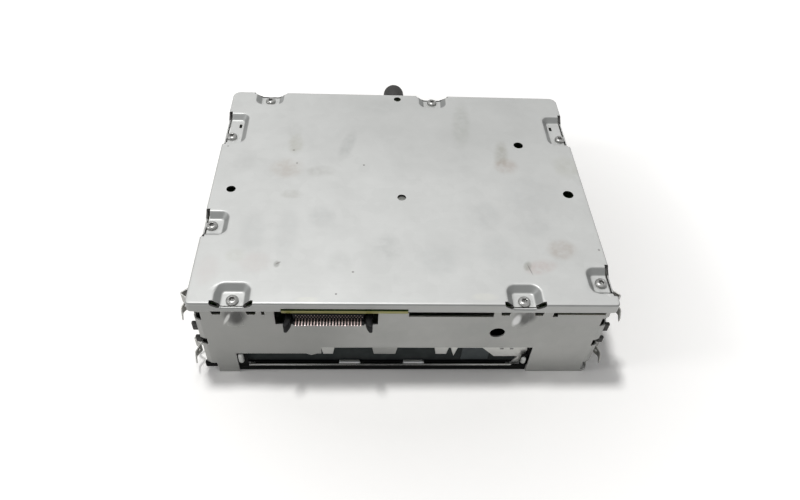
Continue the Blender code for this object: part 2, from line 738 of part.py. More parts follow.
def cut_rear_wall(walls):
    """Openings for the connector, the antenna socket, the stud, the amplifier and the sink's screws."""

    def through(name, x, z, radius, sides=ROUND_SIDES):
        start = (x, INNER_Y - OVERRUN, z)
        return rod(name, start, (x, WALL_Y + OVERRUN, z), radius, sides)

    half = CONNECTOR_WIDTH / 2 + GAP
    low = (CONNECTOR_X - half, INNER_Y - OVERRUN, HANG_TOP - CONNECTOR_HEIGHT - GAP)
    cut(walls, block("connector_window", low, (CONNECTOR_X + half, WALL_Y + OVERRUN, HANG_TOP + GAP)))
    half = AMP_WIDTH / 2 + AMP_ROOM
    low = (AMP_X - half, INNER_Y - OVERRUN, HANG_TOP - AMP_LEGS - AMP_HEIGHT - AMP_ROOM)
    cut(walls, block("amplifier_window", low, (AMP_X + half, WALL_Y + OVERRUN, HANG_TOP - AMP_LEGS + GAP)))
    cut(walls, through("antenna_hole", ANTENNA_X, ANTENNA_Z, ANTENNA_RADIUS + GAP))
    cut(walls, through("stud_hole", STUD_X, STUD_Z, STUD_RADIUS + GAP))
    for x, z in sink_screw_places():
        cut(walls, through("sink_screw_hole", x, z, SCREW_SHANK_RADIUS + GAP, SMALL_SIDES))


def chassis():
    """The front, side and rear walls, folded from one sheet."""
    corner = LID_CORNER - SHEET - GAP
    walls = block("chassis", (-WALL_X, -WALL_Y, 0), (WALL_X, WALL_Y, WALL_TOP), corner)
    for name in ("front_left", "front_right"):
        fuse(walls, gusset(f"gusset_{name}", along_of(name)))
    room_low = (-INNER_X, -INNER_Y, -OVERRUN)
    room_high = (INNER_X, INNER_Y, WALL_TOP + OVERRUN)
    cut(walls, block("chassis_room", room_low, room_high, corner - SHEET))
    add_screw_tabs(walls)
    add_board_tabs(walls)
    cut_front_wall(walls)
    add_hooks(walls)
    cut_rear_wall(walls)
    return finish(walls, "galvanised_steel")


# Base cover

BASE_RAISE = 0.0014
BASE_RAISED_DEPTH = 0.034
BASE_FLANGE = 0.0045
BASE_CORNER_SETBACK = 0.005
GUIDE_TAB_WIDTH = 0.0095
GUIDE_TAB_HEIGHT = 0.0046
GUIDE_TAB_PLACE = 0.0147
GUIDE_TAB_CORNER = 0.0008

BASE_HALF = INNER_X - GAP
BASE_FRONT = FRONT_PLATE_Y
BASE_STEP = BASE_FRONT + BASE_RAISED_DEPTH
BASE_REAR = INNER_Y - GAP
BASE_FRONT_HALF = DISC_RADIUS


def guide_tab(name, x):
    """A tab that stands up from the base's front edge, with its upper corners cut."""
    half = GUIDE_TAB_WIDTH / 2
    outline = (
        (x - half, BASE_RAISE),
        (x + half, BASE_RAISE),
        (x + half, GUIDE_TAB_HEIGHT - GUIDE_TAB_CORNER),
        (x + half - GUIDE_TAB_CORNER, GUIDE_TAB_HEIGHT),
        (x - half, GUIDE_TAB_HEIGHT),
    )
    return plate(name, "XZ", outline, BASE_FRONT, BASE_FRONT + SHEET)


def base_section():
    """The base's section along Y: the raised front, the step and the rear flange."""
    raised_top = BASE_RAISE + SHEET
    return (
        (BASE_FRONT, BASE_RAISE),
        (BASE_STEP, BASE_RAISE),
        (BASE_STEP, 0),
        (BASE_REAR, 0),
        (BASE_REAR, BASE_FLANGE),
        (BASE_REAR - SHEET, BASE_FLANGE),
        (BASE_REAR - SHEET, SHEET),
        (BASE_STEP + SHEET, SHEET),
        (BASE_STEP + SHEET, raised_top),
        (BASE_FRONT, raised_top),
    )


def base_cover():
    """The flat cover that the radio rests on, with a raised front part and upright flanges."""
    base = plate("base_cover", "YZ", base_section(), -BASE_HALF, BASE_HALF)
    setback = BASE_FRONT + BASE_CORNER_SETBACK
    flange = (
        (setback + SHEET, BASE_RAISE + SHEET / 2),
        (BASE_STEP + SHEET / 2, BASE_RAISE + SHEET / 2),
        (BASE_STEP + SHEET / 2, SHEET / 2),
        (BASE_REAR - SHEET / 2, SHEET / 2),
        (BASE_REAR - SHEET / 2, BASE_FLANGE),
        (setback + SHEET, BASE_FLANGE),
    )
    for sign in (-1, 1):
        near, far = sorted((sign * BASE_HALF, sign * (BASE_HALF - SHEET)))
        fuse(base, plate("side_flange", "YZ", flange, near, far))
        inner = DECK_MIDDLE + sign * BASE_FRONT_HALF
        near, far = sorted((inner, sign * (BASE_HALF + OVERRUN)))
        low = (near, BASE_FRONT - OVERRUN, -OVERRUN)
        cut(base, block("front_corner", low, (far, setback, BASE_FLANGE + OVERRUN)))
        near, far = sorted((sign * (BASE_HALF - CORNER_RELIEF), sign * (BASE_HALF + OVERRUN)))
        low = (near, BASE_REAR - CORNER_RELIEF, -OVERRUN)
        cut(base, block("rear_corner", low, (far, BASE_REAR + OVERRUN, BASE_FLANGE + OVERRUN)))
        fuse(base, guide_tab("guide_tab", DECK_MIDDLE + sign * GUIDE_TAB_PLACE))
        fuse(base, arm_lug("arm_lug", sign))
    return finish(base, "galvanised_steel")


# Clamp arm sizes

ARM_HEIGHT = 0.0032
ARM_HINGE_Y = 0.052
ARM_HINGE_WIDTH = 0.03
ARM_RING = 0.0085
ARM_PIN_RADIUS = 0.0009
ARM_KNUCKLE_RADIUS = 0.0018
LUG_WIDTH = 0.0012
LUG_RUN = 0.0025

ARM_AXIS_Z = ARM_HEIGHT + SHEET / 2


def arm_lug(name, sign):
    """An ear on the base that carries one end of the clamp arm's pin."""
    near = sign * (ARM_HINGE_WIDTH / 2 + GAP)
    far = near + sign * LUG_WIDTH
    low_x, high_x = sorted((DECK_MIDDLE + near, DECK_MIDDLE + far))
    top = ARM_AXIS_Z + LUG_RUN
    ear = block(name, (low_x, ARM_HINGE_Y - LUG_RUN, SHEET / 2), (high_x, ARM_HINGE_Y + LUG_RUN, top))
    start = (low_x - OVERRUN, ARM_HINGE_Y, ARM_AXIS_Z)
    end = (high_x + OVERRUN, ARM_HINGE_Y, ARM_AXIS_Z)
    return cut(ear, rod("arm_pin_hole", start, end, ARM_PIN_RADIUS + GAP, SMALL_SIDES))


# Side spring clips

CLIP_THICKNESS = 0.0005
CLIP_WIDTH = 0.0055
CLIP_TIP_WIDTH = 0.0018
CLIP_LENGTH = 0.0210
CLIP_REACH = 0.0054
CLIP_ROOT_INSET = 0.0222
UPPER_CLIP_DROP = 0.0070
LOWER_CLIP_DROP = 0.0395
# Points of a clip's path: shares of its length forwards and of its reach outwards
CLIP_PATH_SHARES = ((0, 0), (0.31, 0.05), (0.53, 1), (0.66, 0.33), (0.83, 0.76), (1, 0.6))
CLIP_SHOULDER = 4


def clip(name, side, drop):
    """A bent strip that springs outwards from a side wall, with a locking shoulder."""
    root_x = WALL_X + GAP + CLIP_THICKNESS / 2
    root_y = CLIP_ROOT_INSET - HALF_D
    path = [(side * (root_x + out * CLIP_REACH), root_y - run * CLIP_LENGTH) for run, out in CLIP_PATH_SHARES]
    top = HEIGHT - drop
    strip = bent_strip(name, "XY", path, top - CLIP_WIDTH, top, CLIP_THICKNESS)
    shoulder_y = path[CLIP_SHOULDER - 1][1]
    tip_y = path[-1][1]
    tip_low = top - CLIP_WIDTH + CLIP_TIP_WIDTH
    taper = ((shoulder_y, top + GAP), (tip_y - OVERRUN, top + GAP), (tip_y - OVERRUN, tip_low))
    reach = root_x + CLIP_REACH + OVERRUN
    cut(strip, plate("taper", "YZ", taper, *sorted((side * WALL_X, side * reach))))
    finish(strip, "spring_steel")
    return pivot(f"{name}_pivot", (side * root_x, root_y, top - CLIP_WIDTH / 2), strip)


def clips():
    """The four clips that hold the radio in its mounting frame."""
    for side_name, side in (("left", -1), ("right", 1)):
        clip(f"clip_upper_{side_name}", side, UPPER_CLIP_DROP)
        clip(f"clip_lower_{side_name}", side, LOWER_CLIP_DROP)


# Main board and what hangs from it

TUNER_X = ANTENNA_X
TUNER_WIDTH_SHARE = 0.191011  # of the unit's width
TUNER_WIDTH = TUNER_WIDTH_SHARE * WIDTH
TUNER_DEPTH = 0.027
TUNER_HEIGHT = 0.0105
TUNER_BACK = 0.0042
CAPACITOR_X = 0.225 * WIDTH
CAPACITOR_Y = 0.13 * DEPTH
CAPACITOR_RADIUS = 0.008
CAPACITOR_HEIGHT = 0.02
CAPACITOR_GROOVE = 0.0006
CHOKE_X = 0.36 * WIDTH
CHOKE_Y = 0.13 * DEPTH
CHOKE_RADIUS = 0.0055
CHOKE_WIRE = 0.0025
PROCESSOR_X = 0.14 * WIDTH
PROCESSOR_Y = -0.18 * DEPTH
PROCESSOR_SIDE = 0.016
PROCESSOR_THICKNESS = 0.0016
RIBBON_X = -0.236 * WIDTH
RIBBON_WIDTH = 0.016
RIBBON_THICKNESS = 0.0004
SOCKET_DEPTH = 0.004
SOCKET_HEIGHT = 0.0025
BOARD_SOCKET_Y = -0.27 * DEPTH
DECK_SOCKET_Y = -0.2 * DEPTH


def main_board():
    """The main circuit board, with a tongue that fills the notch in the front wall."""
    half = INNER_X - GAP
    low = (-half, -INNER_Y + GAP, BOARD_BOTTOM)
    board = block("main_board", low, (half, INNER_Y - GAP, BOARD_TOP), CORNER_RELIEF)
    tip_low = (TONGUE_LEFT, -WALL_Y - TONGUE_PROUD, BOARD_BOTTOM)
    fuse(board, block("tongue", tip_low, (TONGUE_RIGHT, OVERRUN - INNER_Y, BOARD_TOP)))
    radius = SCREW_SHANK_RADIUS + SHANK_ROOM
    for name in LID_SCREWS:
        x, y = screw_point(name)
        start = (x, y, BOARD_BOTTOM - OVERRUN)
        cut(board, rod("shank_room", start, (x, y, BOARD_TOP + OVERRUN), radius, SMALL_SIDES))
    return finish(board, "circuit_board")


def header_pins():
    """The row of contact pins, as one mesh of equal bars."""
    shape = bmesh.new()
    length = PIN_LENGTH + HEADER_DEPTH / 2
    for i in range(PIN_COUNT):
        x = (i - (PIN_COUNT - 1) / 2) * PIN_PITCH
        bar = bmesh.ops.create_cube(shape, size=1)["verts"]
        bmesh.ops.scale(shape, vec=(PIN_WIDTH, length, PIN_WIDTH), verts=bar)
        bmesh.ops.translate(shape, vec=(x, 0, 0), verts=bar)
    y = HEADER_FACE - PIN_LENGTH + length / 2
    return place("header_pins", shape, (HEADER_X, y, header_pin_height()))


def header_pin_height():
    """The height of the pins' row, above the header's lip."""
    return HEADER_BOTTOM + HEADER_LIP_HEIGHT + PIN_PITCH / 2


def latch_axis(side):
    """The x and y of a latch's pivot."""
    return HEADER_X + side * (HEADER_HALF + GAP + LATCH_ROOT_RADIUS), HEADER_FACE + EAR_LENGTH


def front_header():
    """The header's housing with its pins, a lip below them and an ear pair at each end."""
    back = HEADER_FACE + HEADER_DEPTH
    low = (HEADER_X - HEADER_HALF, HEADER_FACE, HEADER_BOTTOM)
    housing = block("front_header", low, (HEADER_X + HEADER_HALF, back, HANG_TOP))
    lip_low = (HEADER_X - HEADER_HALF, HEADER_FACE - HEADER_LIP, HEADER_BOTTOM)
    lip_high = (HEADER_X + HEADER_HALF, HEADER_FACE + OVERRUN, HEADER_BOTTOM + HEADER_LIP_HEIGHT)
    fuse(housing, block("header_lip", lip_low, lip_high))
    fuse(housing, header_pins())
    for side in (-1, 1):
        x, y = latch_axis(side)
        inner, outer = HEADER_HALF - OVERRUN, HEADER_HALF + EAR_LENGTH
        near, far = sorted((HEADER_X + side * inner, HEADER_X + side * outer))
        for low_z, high_z in (
            (HEADER_BOTTOM, HEADER_BOTTOM + EAR_THICKNESS),
            (HANG_TOP - EAR_THICKNESS, HANG_TOP),
        ):
            fuse(housing, block("ear", (near, y - LATCH_ROOT_RADIUS, low_z), (far, back, high_z)))
        start = (x, y, HEADER_BOTTOM + EAR_THICKNESS / 2)
        end = (x, y, HANG_TOP - EAR_THICKNESS / 2)
        fuse(housing, rod("latch_pin", start, end, LATCH_PIN_RADIUS, SMALL_SIDES))
    return finish(housing, "black_plastic")


# Points of a latch from its pivot: shares of its length forwards and of its curl outwards
LATCH_OUTER_SHARES = ((0, 0.78), (0.3, 0.78), (0.5, 0.7), (0.72, 0.85), (0.88, 1.05), (0.98, 1))
LATCH_INNER_SHARES = ((1, 0.25), (0.84, -0.3), (0.66, -0.72), (0.3, -0.78), (0, -0.78))


def latch(name, side):
    """A latch arm that turns about an upright pin at the header's end and curls outwards."""
    x, y = latch_axis(side)
    shares = LATCH_OUTER_SHARES + LATCH_INNER_SHARES
    outline = [(side * out * LATCH_CURL, -run * LATCH_LENGTH) for run, out in shares]
    low = HEADER_BOTTOM + EAR_THICKNESS + GAP
    high = HANG_TOP - EAR_THICKNESS - GAP
    arm = plate(name, "XY", [(x + px, y + py) for px, py in outline], low, high)
    fuse(arm, rod("latch_root", (x, y, low), (x, y, high), LATCH_ROOT_RADIUS))
    start, end = (x, y, low - OVERRUN), (x, y, high + OVERRUN)
    cut(arm, rod("latch_bore", start, end, LATCH_PIN_RADIUS + GAP, SMALL_SIDES))
    finish(arm, "black_plastic")
    return pivot(f"{name}_pivot", (x, y, (low + high) / 2), arm)


def tuner_module():
    """The tuner's shielding can, with a shallow step round its lid."""
    back = INNER_Y - TUNER_BACK
    low = (TUNER_X - TUNER_WIDTH / 2, back - TUNER_DEPTH, HANG_TOP - TUNER_HEIGHT + SHEET)
    can = block("tuner_module", low, (TUNER_X + TUNER_WIDTH / 2, back, HANG_TOP))
    lid_low = (low[0] + SHEET, low[1] + SHEET, HANG_TOP - TUNER_HEIGHT)
    lid_high = (TUNER_X + TUNER_WIDTH / 2 - SHEET, back - SHEET, low[2] + SHEET)
    fuse(can, block("tuner_step", lid_low, lid_high))
    return finish(can, "bright_steel")


def antenna_socket():
    """The antenna socket, which starts at the tuner and goes out through the rear wall."""
    start = INNER_Y - TUNER_BACK + GAP
    length = HALF_D + ANTENNA_PROUD - start
    profile = (
        (ANTENNA_BORE, length),
        (ANTENNA_RADIUS, length),
        (ANTENNA_RADIUS, 0),
        (0, 0),
        (0, length - ANTENNA_BORE_DEPTH),
        (ANTENNA_BORE, length - ANTENNA_BORE_DEPTH),
    )
    place_at = (ANTENNA_X, start, ANTENNA_Z)
    socket = turned("antenna_socket", profile, place_at, (0, 1, 0), ROUND_SIDES, closed=True)
    return finish(socket, "bright_steel", smooth=True)


def rear_connector():
    """The harness connector, a housing open to the rear with two rows of contact blades."""
    half = CONNECTOR_WIDTH / 2
    back = HALF_D + CONNECTOR_PROUD
    bottom = HANG_TOP - CONNECTOR_HEIGHT
    housing = block(
        "rear_connector",
        (CONNECTOR_X - half, back - CONNECTOR_DEPTH, bottom),
        (CONNECTOR_X + half, back, HANG_TOP),
    )
    floor_y = back - CONNECTOR_CAVITY
    low = (CONNECTOR_X - half + CONNECTOR_WALL, floor_y, bottom + CONNECTOR_WALL)
    high = (CONNECTOR_X + half - CONNECTOR_WALL, back + OVERRUN, HANG_TOP - CONNECTOR_WALL)
    cut(housing, block("connector_cavity", low, high))
    middle = (bottom + HANG_TOP) / 2
    for sign in (-1, 1):
        z = middle + sign * CONNECTOR_HEIGHT * CONNECTOR_ROW_SHARE
        for i in range(CONNECTOR_PINS):
            x = CONNECTOR_X + (i - (CONNECTOR_PINS - 1) / 2) * CONNECTOR_PITCH_SHARE * CONNECTOR_WIDTH
            reach = CONNECTOR_PIN_WIDTH / 2
            near = (x - reach, floor_y - reach, z - reach)
            fuse(housing, block("blade", near, (x + reach, floor_y + CONNECTOR_PIN_LENGTH, z + reach)))
    return finish(housing, "black_plastic")


def amplifier():
    """The power amplifier, flat against the heat sink, with its row of legs up to the board."""
    top = HANG_TOP - AMP_LEGS
    low = (AMP_X - AMP_WIDTH / 2, WALL_Y - AMP_THICKNESS, top - AMP_HEIGHT)
    body = block("amplifier_ic", low, (AMP_X + AMP_WIDTH / 2, WALL_Y, top))
    middle = WALL_Y - AMP_THICKNESS + AMP_LEG_THICKNESS
    leg_low = (AMP_X - AMP_LEG_WIDTH / 2, middle - AMP_LEG_THICKNESS / 2, top - OVERRUN)
    leg_high = (AMP_X + AMP_LEG_WIDTH / 2, middle + AMP_LEG_THICKNESS / 2, HANG_TOP)
    fuse(body, block("amplifier_legs", leg_low, leg_high))
    return finish(body, "black_plastic")


def sink_screw_places():
    """The x and z of the heat sink's two screws."""
    z = SINK_LOW + SINK_HEIGHT * SINK_SCREW_RISE_SHARE
    pitch = SINK_WIDTH / (SINK_FIN_COUNT - 1)
    return [(SINK_X + sign * SINK_SCREW_PITCHES * pitch, z) for sign in (-1, 1)]


def heat_sink():
    """A finned aluminium block on the outside of the rear wall."""
    half = SINK_WIDTH / 2
    top = SINK_LOW + SINK_HEIGHT
    sink = block("heat_sink", (SINK_X - half, WALL_Y + GAP, SINK_LOW), (SINK_X + half, SINK_BACK, top))
    pitch = SINK_WIDTH / (SINK_FIN_COUNT - 1)
    for i in range(SINK_FIN_COUNT):
        x = SINK_X - half + i * pitch
        x = min(max(x, SINK_X - half + SINK_FIN_THICKNESS / 2), SINK_X + half - SINK_FIN_THICKNESS / 2)
        low = (x - SINK_FIN_THICKNESS / 2, SINK_BACK - SINK_BASE / 2, SINK_LOW)
        fuse(sink, block("fin", low, (x + SINK_FIN_THICKNESS / 2, SINK_BACK + SINK_FIN, top)))
    for x, z in sink_screw_places():
        start = (x, WALL_Y - OVERRUN, z)
        cut(sink, rod("sink_hole", start, (x, SINK_BACK + OVERRUN, z), SCREW_SHANK_RADIUS + GAP, SMALL_SIDES))
    for side, (x, z) in zip(("left", "right"), sink_screw_places()):
        pan_screw(f"heat_sink_screw_{side}", (x, SINK_BACK, z), (0, 1, 0), SINK_BACK - INNER_Y)
    return finish(sink, "cast_aluminium")


def capacitor():
    """A large can capacitor with a rolled groove near its base."""
    groove = CAPACITOR_RADIUS - CAPACITOR_GROOVE
    profile = (
        (0, 0),
        (CAPACITOR_RADIUS, 0),
        (CAPACITOR_RADIUS, -3 * CAPACITOR_GROOVE),
        (groove, -4 * CAPACITOR_GROOVE),
        (CAPACITOR_RADIUS, -5 * CAPACITOR_GROOVE),
        (CAPACITOR_RADIUS, CAPACITOR_GROOVE - CAPACITOR_HEIGHT),
        (groove, -CAPACITOR_HEIGHT),
        (0, -CAPACITOR_HEIGHT),
    )
    can = turned("capacitor", profile, (CAPACITOR_X, CAPACITOR_Y, HANG_TOP), (0, 0, 1), ROUND_SIDES)
    return finish(can, "black_plastic", smooth=True)


def choke():
    """A ring choke that hangs flat under the board."""
    bpy.ops.mesh.primitive_torus_add(
        location=(CHOKE_X, CHOKE_Y, HANG_TOP - CHOKE_WIRE),
        major_radius=CHOKE_RADIUS,
        minor_radius=CHOKE_WIRE,
        major_segments=ROUND_SIDES,
        minor_segments=SMALL_SIDES,
    )
    ring = bpy.context.object
    ring.name = "choke"
    for owner in list(ring.users_collection):
        owner.objects.unlink(ring)
    PARTS.objects.link(ring)
    return finish(ring, "copper_wire", smooth=True)


def processor():
    """The processor, flat under the board."""
    half = PROCESSOR_SIDE / 2
    low = (PROCESSOR_X - half, PROCESSOR_Y - half, HANG_TOP - PROCESSOR_THICKNESS)
    chip = block("processor_ic", low, (PROCESSOR_X + half, PROCESSOR_Y + half, HANG_TOP))
    return finish(chip, "black_plastic")


def ribbon_socket(name, y, low, high):
    """One of the ribbon cable's sockets."""
    half = RIBBON_WIDTH / 2 + SHEET
    near, far = y - SOCKET_DEPTH / 2, y + SOCKET_DEPTH / 2
    socket = block(name, (RIBBON_X - half, near, low), (RIBBON_X + half, far, high))
    return finish(socket, "white_plastic")


# Points of the ribbon cable from the board's socket to the deck's: shares of the run and of the drop
RIBBON_PATH_SHARES = (
    (0, 0),
    (0, 0.18),
    (-0.12, 0.32),
    (0.1, 0.46),
    (0.9, 0.56),
    (1.12, 0.7),
    (1, 0.84),
    (1, 1),
)


def ribbon():
    """The flat cable from the board to the deck, in one loose bend, and its two sockets."""
    board_low = HANG_TOP - SOCKET_HEIGHT
    deck_low = PLATE_LOW + SHEET + GAP
    deck_high = deck_low + SOCKET_HEIGHT
    ribbon_socket("ribbon_socket_board", BOARD_SOCKET_Y, board_low, HANG_TOP)
    ribbon_socket("ribbon_socket_deck", DECK_SOCKET_Y, deck_low, deck_high)
    top, bottom = board_low - GAP, deck_high + GAP
    run, drop = DECK_SOCKET_Y - BOARD_SOCKET_Y, bottom - top
    path = [(BOARD_SOCKET_Y + across * run, top + down * drop) for across, down in RIBBON_PATH_SHARES]
    half = RIBBON_WIDTH / 2
    cable = bent_strip("ribbon_cable", "YZ", path, RIBBON_X - half, RIBBON_X + half, RIBBON_THICKNESS)
    return finish(cable, "ribbon_film")


# Rear stud


def rear_stud():
    """The locating stud, its nut and its rubber cap."""
    start = INNER_Y - STUD_HEAD - GAP
    end = HALF_D + STUD_REACH - start
    profile = (
        (0, end),
        (STUD_RADIUS, end),
        (STUD_RADIUS, STUD_HEAD),
        (STUD_HEAD_RADIUS, STUD_HEAD),
        (STUD_HEAD_RADIUS, 0),
        (0, 0),
    )
    stud = turned("rear_stud", profile, (STUD_X, start, STUD_Z), (0, 1, 0))
    finish(stud, "screw_steel", smooth=True)
    near = WALL_Y + GAP
    far = near + NUT_THICKNESS
    nut = rod("stud_nut", (STUD_X, near, STUD_Z), (STUD_X, far, STUD_Z), NUT_RADIUS, NUT_SIDES)
    bore_start = (STUD_X, near - OVERRUN, STUD_Z)
    cut(nut, rod("nut_bore", bore_start, (STUD_X, far + OVERRUN, STUD_Z), STUD_RADIUS + GAP))
    finish(nut, "screw_steel")
    return stud_cap()


def stud_cap():
    """The rubber cap over the stud's end: a sleeve with a round end."""
    centre = CAP_CENTRE_REACH
    bore = STUD_RADIUS + GAP
    profile = []
    for i in range(CAP_END_STEPS):
        angle = math.pi / 2 * (1 - i / CAP_END_STEPS)
        profile.append((CAP_RADIUS * math.cos(angle), centre + CAP_RADIUS * math.sin(angle)))
    profile[0] = (0, centre + CAP_RADIUS)
    low = centre - CAP_LENGTH
    bore_end = STUD_REACH + GAP
    profile += [(CAP_RADIUS, centre), (CAP_RADIUS, low), (bore, low), (bore, bore_end), (0, bore_end)]
    cap = turned("stud_cap", profile, (STUD_X, HALF_D, STUD_Z), (0, 1, 0))
    return finish(cap, "black_rubber", smooth=True)


# Disc deck

PLATE_LOW = 0.013
PLATE_FRONT_RUN = 0.0125
DECK_FLANGE_LOW = 0.0092
DECK_FLANGE_TOP = 0.0245
DECK_REAR_FLANGE = 0.005
MOTOR_HOLE_ROOM = 0.0008
WINDOW_START = 0.0107
WINDOW_END_ROOM = 0.0025

DAMPER_RADIUS_SHARE = 0.0252809
DAMPER_RADIUS = DAMPER_RADIUS_SHARE * WIDTH
DAMPER_WAIST_SHARE = 0.733333
DAMPER_WAIST = DAMPER_WAIST_SHARE * DAMPER_RADIUS
DAMPER_TAB = 0.0115
DAMPER_ROOM_SHARE = 0.00842697
DAMPER_ROOM = DAMPER_ROOM_SHARE * WIDTH
DAMPER_FRONT_SHARE = -0.12
DAMPER_REAR_SHARE = 0.33
# Heights of a damper's profile, from its top down
DAMPER_HEIGHT_SHARES = (1, 1, 0.75, 0.67, 0.33, 0.25, 0, 0)

MODULE = 0.0005
ROLLER_GEAR_TEETH = 24
IDLER_TEETH = 36
PINION_TEETH = 10
ADDENDUM_SHARE = 0.8
DEDENDUM_SHARE = 1.15
TIP_SHARE = 0.11
ROOT_SHARE = 0.24
MESH_ROOM = 0.0002
GEAR_WIDTH = 0.0035
GEAR_OFFSET = 0.0012
ROLLER_RADIUS = 0.0032
ROLLER_WAIST = 0.0027
ROLLER_SETBACK = 0.0050
ROLLER_SHAFT_RADIUS = 0.00125
ROLLER_LIFT = 0.0010
IDLER_ANGLE = math.radians(20)
PINION_ANGLE = math.radians(13.5)
IDLER_PIN_RADIUS = 0.0012
LOADER_RADIUS = 0.006
LOADER_LENGTH = 0.018
LOADER_BOSS = 0.001
MOTOR_SHAFT_RADIUS = 0.001

SPINDLE_RADIUS = 0.010
SPINDLE_HEIGHT = 0.0065
TURNTABLE_RADIUS = 0.013
TURNTABLE_THICKNESS = 0.0024
TURNTABLE_HUB = 0.003
TURNTABLE_BOSS = 0.0071
PUCK_RADIUS = 0.0120
PUCK_NECK = 0.0024
PUCK_FLANGE = 0.0040
PUCK_FLANGE_THICKNESS = 0.0005

ROD_X = 0.014
ROD_RADIUS = 0.0015
ROD_HEIGHT = 0.0024
LUG_HALF = 0.003
SLED_LENGTH = 0.022
SLED_HALF = 0.017
SLED_LOW = 0.0126
SLED_TOP = 0.0182
SLED_FRONT = 0.0125
LENS_BLOCK = 0.012
LENS_BLOCK_DROP = 0.0022
LENS_RADIUS = 0.0022
LENS_DROP = 0.0008
LENS_Y_SHARE = 0.43
SCREW_X = 0.022
SCREW_CORE = 0.0011
SLED_BOSS_RADIUS = 0.0022
THREAD = 0.0003
THREAD_PITCH = 0.003
THREAD_STEPS = 6
SLED_MOTOR_RADIUS = 0.005
SLED_MOTOR_LENGTH = 0.022
SLED_MOTOR_END = 0.009
FOLLOWER_LENGTH = 0.006
FOLLOWER_HALF = 0.0022

DISC_TOP = DISC_HEIGHT + DISC_THICKNESS / 2
DISC_BOTTOM = DISC_HEIGHT - DISC_THICKNESS / 2
PLATE_TOP = PLATE_LOW + SHEET
ROLLER_Y = DECK_FRONT + ROLLER_SETBACK
ROLLER_Z = DISC_TOP + ROLLER_LIFT + ROLLER_RADIUS
ROLLER_GEAR_RADIUS = MODULE * ROLLER_GEAR_TEETH / 2
IDLER_RADIUS = MODULE * IDLER_TEETH / 2
PINION_RADIUS = MODULE * PINION_TEETH / 2
IDLER_DISTANCE = ROLLER_GEAR_RADIUS + IDLER_RADIUS + MESH_ROOM
PINION_DISTANCE = IDLER_RADIUS + PINION_RADIUS + MESH_ROOM
IDLER_Y = ROLLER_Y + IDLER_DISTANCE * math.cos(IDLER_ANGLE)
IDLER_Z = ROLLER_Z + IDLER_DISTANCE * math.sin(IDLER_ANGLE)
PINION_Y = IDLER_Y + PINION_DISTANCE * math.cos(PINION_ANGLE)
PINION_Z = IDLER_Z + PINION_DISTANCE * math.sin(PINION_ANGLE)
GEAR_NEAR = DECK_RIGHT + GEAR_OFFSET
GEAR_FAR = GEAR_NEAR + GEAR_WIDTH
WINDOW_END = DECK_REAR - WINDOW_END_ROOM
ROD_Z = PLATE_TOP + ROD_HEIGHT
SCREW_Z = PLATE_TOP + GAP + SLED_MOTOR_RADIUS
FRONT_LUG_Y = WINDOW_START - SHEET - GAP


def damper_places():
    """Each damper's name, its side and its x and y."""
    places = []
    for side_name, side in (("left", -1), ("right", 1)):
        for end_name, share in (("front", DAMPER_FRONT_SHARE), ("rear", DAMPER_REAR_SHARE)):
            x = DECK_MIDDLE + side * (DECK_HALF + DAMPER_ROOM + DAMPER_RADIUS)
            places.append((f"damper_{end_name}_{side_name}", side, x, share * DEPTH))
    return places


def frame_lug(name, x, y, top, bore_radius, bore_z):
    """An upright tab on the deck's plate with a bore along Y."""
    low = (DECK_MIDDLE + x - LUG_HALF, y, PLATE_LOW + SHEET / 2)
    tab = block(name, low, (DECK_MIDDLE + x + LUG_HALF, y + SHEET, top))
    start = (DECK_MIDDLE + x, y - OVERRUN, bore_z)
    end = (DECK_MIDDLE + x, y + SHEET + OVERRUN, bore_z)
    return cut(tab, rod("lug_bore", start, end, bore_radius + GAP, SMALL_SIDES))


